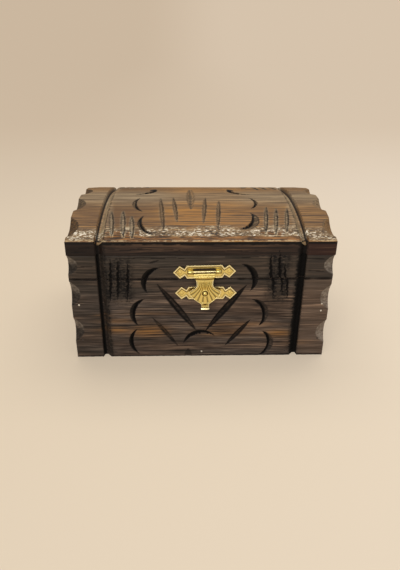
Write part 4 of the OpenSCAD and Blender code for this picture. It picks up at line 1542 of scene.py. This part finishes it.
        # On the knuckle: a painted highlight in a narrow band of the curl, and painted dark reflection over the rest
        # of the curl.
        bright = np.where(wrap, smooth(0.3, 0.45, angle) * smooth(0.85, 0.7, angle), bright)
        around = np.maximum(smooth(0.75, 0.9, angle), smooth(0.45, 0.3, angle))
        self.tarnish(piece, np.where(wrap, 0.95 * around, dark), bright)
        wall = piece.modifiers.new("wall", "SOLIDIFY")
        wall.thickness, wall.offset, wall.use_even_offset = s.sheet * MM, -1, True
        return piece

    @staticmethod
    def tarnish(piece: bpy.types.Object, dark: Array, bright: Array) -> None:
        """Writes how dark and how bright each vertex of a piece is: tarnished hollows and polished rims, with painted
        shade and painted highlights.

        Args:
            piece: the piece.
            dark: how dark each vertex is, from 0 to 1: tarnished hollows, and painted shade.
            bright: how bright each vertex is, from 0 to 1: polished rims and edges, and painted highlights.
        """
        values = np.zeros((len(piece.data.vertices), 4), np.float32)
        values[:, 0], values[:, 1] = dark, bright
        layer = piece.data.attributes.new("tarnish", "FLOAT_COLOR", "POINT")
        layer.data.foreach_set("color", values.ravel())

    def plate(self, node: str, name: str) -> bpy.types.Object:
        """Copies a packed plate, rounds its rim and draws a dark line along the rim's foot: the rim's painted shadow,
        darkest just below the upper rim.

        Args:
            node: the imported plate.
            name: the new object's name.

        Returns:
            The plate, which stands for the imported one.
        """
        bm = merged(node)
        field_level = -BOX.depth / 2 - self.sizes.plate
        foot = self.rim_foot(bm, field_level)
        ease_edges(bm, 0.13)
        self.slice_up(bm, 0.33)
        for f in bm.faces:
            f.smooth = True
        piece = put(bm, name)
        spots = np.array([v.co for v in piece.data.vertices]) / MM
        gap = self.from_lines(spots[:, [0, 2]], foot)
        away = np.linalg.norm(gap, axis=1)
        # Painted shadow of the rim on the field: darkest just below the upper rim.
        under = 0.62 - 0.38 * gap[:, 1] / np.maximum(away, 0.05)
        sunk = np.abs(spots[:, 1] - field_level) < 0.2
        rim = (spots[:, 1] < field_level - 0.2) & (spots[:, 1] > field_level - 0.6)
        dark = under * smooth(0.8, 0.4, away) * sunk
        if node == "hasp_plate":
            dark = np.maximum(dark, self.round_knuckles(piece, spots))
        self.tarnish(piece, dark, rim * smooth(1.3, 0.9, away))
        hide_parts(node)
        return piece

    @staticmethod
    def rim_foot(bm: bmesh.types.BMesh, field_level: float) -> Array:
        """Finds the edges of a plate's flat field, where its rim begins.

        Args:
            bm: the plate's mesh, in metres.
            field_level: Y of the field, in millimetres.

        Returns:
            One row for each edge: X and Z of one end, X and Z of the other, and Y, in millimetres.
        """
        bm.normal_update()
        segments = []
        for e in bm.edges:
            facing = [f for f in e.link_faces if f.normal.y < -0.9]
            if e.is_manifold and len(facing) == 1:
                level = facing[0].calc_center_median().y
                segments.append([*e.verts[0].co.xz, *e.verts[1].co.xz, level])
        lines = np.array(segments) / MM
        return lines[np.abs(lines[:, 4] - field_level) < 0.06]

    @staticmethod
    def slice_up(bm: bmesh.types.BMesh, pitch: float) -> None:
        """Cuts a plate's faces into small cells, which can carry the tarnish.

        Args:
            bm: the plate's mesh, in metres.
            pitch: the size of a cell, in millimetres.
        """
        low = [min(v.co[i] for v in bm.verts) for i in (0, 2)]
        high = [max(v.co[i] for v in bm.verts) for i in (0, 2)]
        for axis, normal in ((0, (1, 0, 0)), (1, (0, 0, 1))):
            for at in np.arange(low[axis] + 0.2 * MM, high[axis], pitch * MM):
                whole = list(bm.verts) + list(bm.edges) + list(bm.faces)
                bmesh.ops.bisect_plane(bm, geom=whole, dist=1e-7, plane_co=[at * n for n in normal], plane_no=normal)

    @staticmethod
    def from_lines(spots: Array, lines: Array) -> Array:
        """Measures each point from the nearest of several lines.

        Args:
            spots: the points, one row each.
            lines: both ends of each line, in the first four places of a row.

        Returns:
            The step from the nearest line to each point.
        """
        start, run = lines[None, :, :2], (lines[:, 2:4] - lines[:, :2])[None]
        reach = spots[:, None, :] - start
        share = np.clip((reach * run).sum(2) / np.maximum((run ** 2).sum(2), 1e-9), 0, 1)
        gap = reach - share[..., None] * run
        nearest = np.linalg.norm(gap, axis=2).argmin(axis=1)
        return gap[np.arange(len(gap)), nearest]

    def round_knuckles(self, piece: bpy.types.Object, spots: Array) -> Array:
        """Swells the plate's end knuckles into balls.

        Args:
            piece: the plate.
            spots: its vertices, in millimetres.

        Returns:
            How dark each vertex is with painted shade: on the plate just above the pin, and on the end knuckles.
        """
        s = self.sizes
        along, lean = spots[:, 0] - s.x, math.tan(math.radians(s.lean))
        axis = BOX.lid_bottom + s.rise + s.pin_up + along * lean
        out = -BOX.depth / 2 - spots[:, 1]
        raised = out > 1.3
        above = spots[:, 2] - axis
        # Painted shade on the plate just above the pin, darker towards the ends.
        shaded = (out > 0.35) & (out < 0.85) & (above > 0.6) & (above < 2.3) & (np.abs(along) < 9.8)
        dark = shaded * (0.12 + 0.3 * smooth(4, 9, np.abs(along)))
        for sign in (-1, 1):
            mine = raised & (along * sign > s.knuckle_half)
            low, high = along[mine].min(), along[mine].max()
            place = (along[mine] - (low + high) / 2) / (high - low) * 2
            swell = np.sqrt(np.clip(1 - 0.5 * place ** 2, 0, 1))
            share = swell + (1 - swell) * smooth(1.9, 1.3, out[mine])
            for i, k in zip(np.flatnonzero(mine), share):
                piece.data.vertices[i].co.y = (-BOX.depth / 2 - s.pin_out - (out[i] - s.pin_out) * k) * MM
                piece.data.vertices[i].co.z = (axis[i] + (spots[i, 2] - axis[i]) * k) * MM
            # Painted shade on each end knuckle: a dark line just below the pin, and dark ends.
            dark[mine] = 0.95 * np.exp(-((axis[mine] - spots[mine, 2] - 0.3) / 0.3) ** 2)
            dark[mine] = np.maximum(dark[mine], 0.8 * smooth(0.8, 1.0, np.abs(place)))
        return dark


def put(bm: bmesh.types.BMesh, name: str) -> bpy.types.Object:
    """Turns a bmesh into an object of the scene.

    Args:
        bm: the mesh, in metres. It is used up.
        name: the object's name.

    Returns:
        The object, at the origin.
    """
    mesh = bpy.data.meshes.new(name)
    bm.to_mesh(mesh)
    bm.free()
    piece = bpy.data.objects.new(name, mesh)
    bpy.context.scene.collection.objects.link(piece)
    return piece


def merged(node: str) -> bmesh.types.BMesh:
    """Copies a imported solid's mesh, with its loose triangles joined into whole faces.

    Args:
        node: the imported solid.

    Returns:
        The mesh, in metres.
    """
    bm = bmesh.new()
    bm.from_mesh(frame["nodes"][node].data)
    bmesh.ops.remove_doubles(bm, verts=bm.verts, dist=TINY)
    bmesh.ops.dissolve_limit(bm, angle_limit=math.radians(0.5), verts=bm.verts, edges=bm.edges)
    return bm


def ease_edges(bm: bmesh.types.BMesh, width: float) -> None:
    """Rounds every sharp edge of a mesh.

    Args:
        bm: the mesh, in metres.
        width: the rounding's width, in millimetres.
    """
    sharp = [e for e in bm.edges if e.is_manifold and e.calc_face_angle(0) > math.radians(30)]
    bmesh.ops.bevel(bm, geom=sharp, offset=width * MM, affect="EDGES", segments=2, profile=0.5, material=-1,
                    clamp_overlap=True)


def softened(node: str, name: str) -> bpy.types.Object:
    """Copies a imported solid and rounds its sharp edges. The plates' tacks are flattened too.

    Args:
        node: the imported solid.
        name: the new object's name.

    Returns:
        The new object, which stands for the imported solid.
    """
    bm = merged(node)
    ease_edges(bm, 0.12)
    bmesh.ops.dissolve_degenerate(bm, dist=2e-7, edges=bm.edges)
    if node.endswith("plate_tacks"):
        crest, flattened = -BOX.depth / 2 - 0.66, 0.3
        for v in bm.verts:
            v.co.y = max(v.co.y, (crest + flattened * (v.co.y / MM - crest)) * MM)
    for f in bm.faces:
        f.smooth = True
    piece = put(bm, name)
    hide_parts(node)
    return piece


@dataclass(frozen=True)
class FeltFinish:
    """Dark red felt with short matted fibres."""

    hollow: str = "#3a0b10"
    body: str = "#641820"
    fluff: str = "#84303a"

    def material(self, name: str) -> bpy.types.Material:
        """Makes the finish.

        Args:
            name: the material's name.

        Returns:
            The material.
        """
        shader = Shader(name)
        fibre = shader.cloud((2400, 2400, 2400), 3.0, 0.7, 0.8)
        matted = shader.cloud((160, 160, 160), 3.0, 0.6)
        mixed = fibre * 0.6 + matted * 0.4
        colour = shader.stops(mixed, [(0.3, shade(self.hollow)), (0.5, shade(self.body)), (0.7, shade(self.fluff))])
        normal = shader.bump(fibre * 0.7 + matted * 0.5, 0.0003, 0.9)
        return shader.finish(Base_Color=colour, Roughness=0.92, Normal=normal, Sheen_Weight=0.35)


@dataclass(frozen=True)
class Felt:
    """The felt on the box's floor, in millimetres. The pile's pitch is in cells to the metre."""

    edge: float = 0.45
    pile_depth: float = 0.16
    pile_pitch: float = 90.0
    cuts: int = 40

    def make(self, name: str) -> bpy.types.Object:
        """Lays the felt between the boards.

        Args:
            name: the new object's name.

        Returns:
            The felt, a sheet with softened edges and an uneven pile.
        """
        width = BOX.width - 2 * BOX.board - 2 * BOX.felt_gap
        length = BOX.depth - 2 * BOX.board - 2 * BOX.felt_gap
        bm = bmesh.new()
        bmesh.ops.create_cube(bm, size=1.0)
        bmesh.ops.scale(bm, vec=(width * MM, length * MM, BOX.felt * MM), verts=bm.verts)
        bmesh.ops.bevel(bm, geom=[e for e in bm.edges if e.verts[0].co.z > 0 and e.verts[1].co.z > 0],
                        offset=self.edge * MM, affect="EDGES", segments=3, profile=0.5, material=-1)
        broad = [e for e in bm.edges if e.calc_length() > 50 * MM]
        bmesh.ops.subdivide_edges(bm, edges=broad, cuts=self.cuts, use_grid_fill=True)
        pile = Lattice(23)
        top = [v for v in bm.verts if v.co.z > 0.4 * BOX.felt * MM]
        cell = np.array([v.co[:2] for v in top]) * self.pile_pitch + 20
        for v, down in zip(top, pile.at(cell[:, 0], cell[:, 1])):
            v.co.z -= self.pile_depth * MM * down
        bmesh.ops.translate(bm, vec=(0, 0, (BOX.base + BOX.felt / 2) * MM), verts=bm.verts)
        for f in bm.faces:
            f.smooth = True
        piece = put(bm, name)
        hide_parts("floor_lining")
        width * MM
        length * MM
        return piece


@dataclass(frozen=True)
class Studio:
    """Camera, floor and soft light, in metres and degrees."""

    focal_px: float = 505.6
    image: tuple[int, int] = (400, 570)
    eye: tuple[float, float, float] = (-0.0107, -0.3307, 0.1911)
    pitch: float = 26.83
    yaw: float = 2.03
    roll: float = 0.62
    floor_half: float = 2.5
    floor_forward: float = 0.5
    floor_stretch: float = 3.0
    sweep_steps: int = 12
    sweep_step: float = 0.12
    wall_height: float = 2.0

    def camera(self) -> None:
        """Sets up the camera."""
        pitch, yaw, roll = (math.radians(a) for a in (self.pitch, self.yaw, self.roll))
        forward = Vector((math.sin(yaw) * math.cos(pitch), math.cos(yaw) * math.cos(pitch), -math.sin(pitch)))
        level = Vector((math.cos(yaw), -math.sin(yaw), 0))
        up = level.cross(forward)
        right = math.cos(roll) * level + math.sin(roll) * up
        crest = math.cos(roll) * up - math.sin(roll) * level
        data = bpy.data.cameras.new("camera")
        data.sensor_width = 36.0
        data.lens = self.focal_px * data.sensor_width / max(self.image)
        data.clip_start, data.clip_end = 0.01, 20
        camera = bpy.data.objects.new("camera", data)
        turn = Matrix((right, crest, -forward)).transposed()
        camera.matrix_world = Matrix.Translation(self.eye) @ turn.to_4x4()
        bpy.context.scene.collection.objects.link(camera)
        bpy.context.scene.camera = camera

    def lamp(self, name: str, place: Sequence[float], aim: Sequence[float], size: tuple[float, float], power: float,
             colour: Sequence[float]) -> None:
        """Hangs one soft rectangular lamp.

        Args:
            name: the lamp's name.
            place: where it hangs.
            aim: the point that it faces.
            size: its width and height.
            power: its power.
            colour: its colour.
        """
        data = bpy.data.lights.new(name, "AREA")
        data.shape, data.size, data.size_y = "RECTANGLE", size[0], size[1]
        data.energy, data.color = power, colour
        lamp = bpy.data.objects.new(name, data)
        lamp.location = place
        lamp.rotation_euler = (Vector(aim) - Vector(place)).to_track_quat("-Z", "Y").to_euler()
        bpy.context.scene.collection.objects.link(lamp)

    def floor(self) -> None:
        """Sweeps a pale paper floor up into a backdrop."""
        bm = bmesh.new()
        bmesh.ops.create_grid(bm, x_segments=2, y_segments=2, size=self.floor_half)
        bmesh.ops.translate(bm, vec=(0, self.floor_forward, 0), verts=bm.verts)
        bmesh.ops.scale(bm, vec=(self.floor_stretch, 1, 1), verts=bm.verts)
        last = self.floor_half + self.floor_forward - 0.1
        rear = [e for e in bm.edges if e.is_boundary and all(v.co.y > last for v in e.verts)]
        for step in range(self.sweep_steps):
            made = bmesh.ops.extrude_edge_only(bm, edges=rear)["geom"]
            rear = [e for e in made if isinstance(e, bmesh.types.BMEdge) and e.is_boundary
                    and abs(e.verts[0].co.x - e.verts[1].co.x) > 0.1]
            tilt = math.radians(90 / self.sweep_steps * (step + 0.5))
            verts = {v for e in rear for v in e.verts}
            rise = (0, self.sweep_step * math.cos(tilt), self.sweep_step * math.sin(tilt))
            bmesh.ops.translate(bm, vec=rise, verts=list(verts))
        made = bmesh.ops.extrude_edge_only(bm, edges=rear)["geom"]
        crest = [v for v in made if isinstance(v, bmesh.types.BMVert)]
        bmesh.ops.translate(bm, vec=(0, 0, self.wall_height), verts=crest)
        for f in bm.faces:
            f.smooth = True
        bmesh.ops.recalc_face_normals(bm, faces=bm.faces)
        sheet = put(bm, "paper_floor")
        sheet.data.materials.append(self.paper("pale_paper"))

    @staticmethod
    def paper(name: str) -> bpy.types.Material:
        """Makes pale paper, which glows a little towards the camera so that its far part stays light.

        Args:
            name: the material's name.

        Returns:
            The material.
        """
        shader = Shader(name)
        fibre = shader.noise(shader.place, 3.0, 2.0)
        side = shader.axis(shader.place, "X").ramp(-0.35, 0.35)
        lay = shader.mix(fibre * 0.25, shader.mix(side, shade("#d5c4ab"), shade("#e3d3bb")), shade("#d8c4a6"))
        far = shader.axis(shader.place, "Y").ramp(-0.15, 0.9)
        near = shader.mix(side, shade("#dccbb4"), shade("#eddecb"))
        glow = shader.mix(far, near, shader.mix(side, shade("#cdb9a1"), shade("#d8c5ae")))
        away = shader.node("ShaderNodeVectorMath", {"operation": "LENGTH"}, {0: shader.place}, "Value").ramp(0.1, 0.45)
        seen = shader.node("ShaderNodeLightPath", {}, {}, "Is Camera Ray")
        mirrored = shader.node("ShaderNodeLightPath", {}, {}, "Is Glossy Ray")
        share = (seen + mirrored * 0.6) * (0.45 + away * 0.5)
        matt = shader.node("ShaderNodeBsdfPrincipled", {}, {"Base Color": lay, "Roughness": 0.9})
        shine = shader.node("ShaderNodeEmission", {}, {"Color": glow, "Strength": 1.0})
        shader.node_output(shader.node("ShaderNodeMixShader", {}, {0: share, 1: matt, 2: shine}))
        return shader.material

    def light(self) -> None:
        """Lights the box from overhead and slightly behind, with a fill in front and to the left."""
        world = bpy.data.worlds.new("room")
        world.use_nodes = True
        tree = world.node_tree
        room, seen = tree.nodes["Background"], tree.nodes.new("ShaderNodeBackground")
        room.inputs["Color"].default_value, room.inputs["Strength"].default_value = (1.0, 0.97, 0.93, 1), 0.55
        seen.inputs["Color"].default_value = shade("#e2d2bb")
        path, blend = tree.nodes.new("ShaderNodeLightPath"), tree.nodes.new("ShaderNodeMixShader")
        tree.links.new(path.outputs["Is Camera Ray"], blend.inputs[0])
        tree.links.new(room.outputs[0], blend.inputs[1])
        tree.links.new(seen.outputs[0], blend.inputs[2])
        tree.links.new(blend.outputs[0], tree.nodes["World Output"].inputs["Surface"])
        bpy.context.scene.world = world
        self.lamp("overhead", (0.05, 0.3, 0.85), (0, 0, 0.05), (0.9, 0.5), 4.6, (1, 0.97, 0.92))
        self.lamp("front_fill", (-0.3, -0.9, 0.6), (0, 0, 0.04), (0.7, 0.5), 4.6, (1, 0.97, 0.93))
        bpy.context.scene.view_settings.view_transform = "Standard"


@dataclass(frozen=True)
class SteelFinish:
    """Nail steel that is partly covered by stain. The share is how much of the steel shows."""

    bare: str
    stained: str
    share: float

    def material(self, name: str) -> bpy.types.Material:
        """Makes the finish.

        Args:
            name: the material's name.

        Returns:
            The material.
        """
        shader = Shader(name)
        film = shader.cloud((900, 900, 900), 2.0)
        cover = film.ramp(self.share, self.share + 0.15)
        colour = shader.mix(cover, shade(self.bare), shade(self.stained))
        normal = shader.bump(film, 0.0001, 0.6)
        return shader.finish(Base_Color=colour, Metallic=(1 - cover) * 0.9, Roughness=0.4 + cover * 0.3, Normal=normal)


@dataclass(frozen=True)
class Nails:
    """The panel nails, with their heads level with the stained surface, in millimetres."""

    head_r: float = 0.6
    shank_r: float = 0.45
    tip_r: float = 0.1
    rise: float = 0.1
    length: float = 14.0
    bright: tuple[tuple[float, float], ...] = ((-75.5, -17.5), (75.5, -17.5), (75.5, -22.5), (0.5, -52.5))

    def nail(self, bm: bmesh.types.BMesh, place: Matrix, slot: int) -> None:
        """Adds one nail.

        Args:
            bm: the mesh, in millimetres.
            place: where the head's crest is, with the shank along -Z.
            slot: the material slot.
        """
        before = set(bm.faces)
        flatten = Matrix.Diagonal((1, 1, self.rise / self.head_r, 1))
        sink = Matrix.Translation((0, 0, -self.rise))
        bmesh.ops.create_uvsphere(bm, u_segments=20, v_segments=10, radius=self.head_r, matrix=place @ sink @ flatten)
        down = Matrix.Translation((0, 0, -self.rise - self.length / 2))
        bmesh.ops.create_cone(bm, cap_ends=True, segments=12, radius1=self.tip_r, radius2=self.shank_r,
                              depth=self.length, matrix=place @ down)
        for f in set(bm.faces) - before:
            f.material_index = slot
            f.smooth = True

    def make(self, name: str, node: str, base: bool) -> bpy.types.Object:
        """Makes the nails of the corners or of the base.

        Args:
            name: the new object's name.
            node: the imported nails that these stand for.
            base: whether they hold the base panel.

        Returns:
            The nails.
        """
        bm = bmesh.new()
        for front in (True, False):
            for x, h in NAIL_SPOTS:
                if (h < -50) is not base or (not front and h == -22.5):
                    continue
                turn = Matrix.Rotation(math.pi / 2 if front else -math.pi / 2, 4, "X")
                spot = Matrix.Translation((x, (-1 if front else 1) * BOX.depth / 2, BOX.body_height + h))
                self.nail(bm, spot @ turn, 0 if front and (x, h) in self.bright else 1)
        if base:
            for side in Side:
                turn = Matrix.Rotation(side.value * math.pi / 2, 4, "Y")
                self.nail(bm, Matrix.Translation((side.value * BOX.width / 2, 0, BOX.base / 2)) @ turn, 1)
        bmesh.ops.scale(bm, vec=(MM, MM, MM), verts=bm.verts)
        piece = put(bm, name)
        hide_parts(node)
        return piece


@dataclass
class JewelryBox:
    """Puts the whole box together."""

    warm: Stain = Stain(("#3a2719", "#5d4128", "#795737", "#967047"), "#0d0806", "#a08c70", "#6d5e4e")
    front_pitch: float = 0.42
    back_pitch: float = 0.7
    slab_pitch: float = 0.5
    body_of: dict[str, str] = field(init=False)

    def __post_init__(self) -> None:
        """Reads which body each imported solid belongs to."""
        bodies = frame["record"]["behaviour"]["bodies"]
        self.body_of = {node: body for body, nodes in bodies.items() for node in nodes}

    def settle(self, piece: bpy.types.Object, node: str, slot: str, *finishes: bpy.types.Material) -> None:
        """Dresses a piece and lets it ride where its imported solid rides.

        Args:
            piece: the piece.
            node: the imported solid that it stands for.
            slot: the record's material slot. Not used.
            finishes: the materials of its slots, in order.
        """
        for finish in finishes:
            piece.data.materials.append(finish)
        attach(piece, self.body_of[node])
        LOG.info("%s: %d faces on %s", piece.name, len(piece.data.polygons), self.body_of[node])

    @staticmethod
    def dress(nodes: Iterable[str], finish: bpy.types.Material) -> None:
        """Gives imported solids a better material.

        Args:
            nodes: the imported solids, which stay as they are.
            finish: the material.
        """
        for node in nodes:
            for slot in frame["nodes"][node].material_slots:
                slot.material = finish
            LOG.info("%s: packed solid in %s", node, finish.name)

    def wood(self) -> None:
        """Makes every board."""
        timber, work = Timber(), Woodwork()
        face = work.face("carved_dark_face")
        top = work.top("worn_brown_top")
        side = work.plain("brushed_dark_side", Run.ALONG_X, work.brown_dark)
        end = work.plain("brushed_dark_end", Run.ALONG_Y, work.brown_dark)
        inner = work.plain("stained_inside", Run.ALONG_X, self.warm)
        body, rail = (0, BOX.body_height), (BOX.lid_bottom, BOX.slab_bottom)
        for node, (low, high), back in (("body_front", body, False), ("body_back", body, True),
                                        ("lid_front_rail", rail, False), ("lid_back_rail", rail, True)):
            board = timber.board("carved_" + node, low, high, back, self.back_pitch if back else self.front_pitch)
            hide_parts(node)
            self.settle(board, node, "stained_front", face, side, inner)
        slab_piece = timber.slab("carved_lid_slab", self.slab_pitch)
        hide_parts("lid_slab")
        self.settle(slab_piece, "lid_slab", "stained_lid", top, side, inner)
        self.dress(("body_left_end", "body_right_end", "lid_left_rail", "lid_right_rail"), end)
        self.dress(("base_panel",), inner)

    def metal(self) -> None:
        """Makes the hasp, the hinges and every fastener."""
        brass, smith = BrassFinish().material("bright_brass"), Brasswork()
        flap = smith.flap("shell_hasp_flap")
        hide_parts("hasp_flap")
        self.settle(flap, "hasp_flap", "yellow_brass", brass)
        for node in self.body_of:
            if node.startswith(("hasp_p", "catch_", "left_hinge", "right_hinge")):
                made = smith.plate if node in ("hasp_plate", "catch_plate") else softened
                self.settle(made(node, "brass_" + node), node, "yellow_brass", brass)
        steel = SteelFinish("#d8d4cc", "#3a2f28", 0.55).material("nail_steel")
        covered = SteelFinish("#5a5048", "#332a24", 0.1).material("stained_nail")
        for name, node, base in (("corner_nails", "body_nails", False), ("base_panel_nails", "base_nails", True)):
            self.settle(Nails().make(name, node, base), node, "nail_steel", steel, covered)

    def lining(self) -> None:
        """Lays the felt."""
        self.settle(Felt().make("felt_floor"), "floor_lining", "red_felt", FeltFinish().material("dark_red_felt"))


def main() -> None:
    """Builds the box and the studio."""
    logging.basicConfig(level=logging.INFO, format="%(message)s")
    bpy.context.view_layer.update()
    studio = Studio()
    studio.camera()
    studio.floor()
    studio.light()
    box = JewelryBox()
    box.wood()
    box.metal()
    box.lining()
    bpy.context.view_layer.update()


if __name__ == "__main__":
    main()
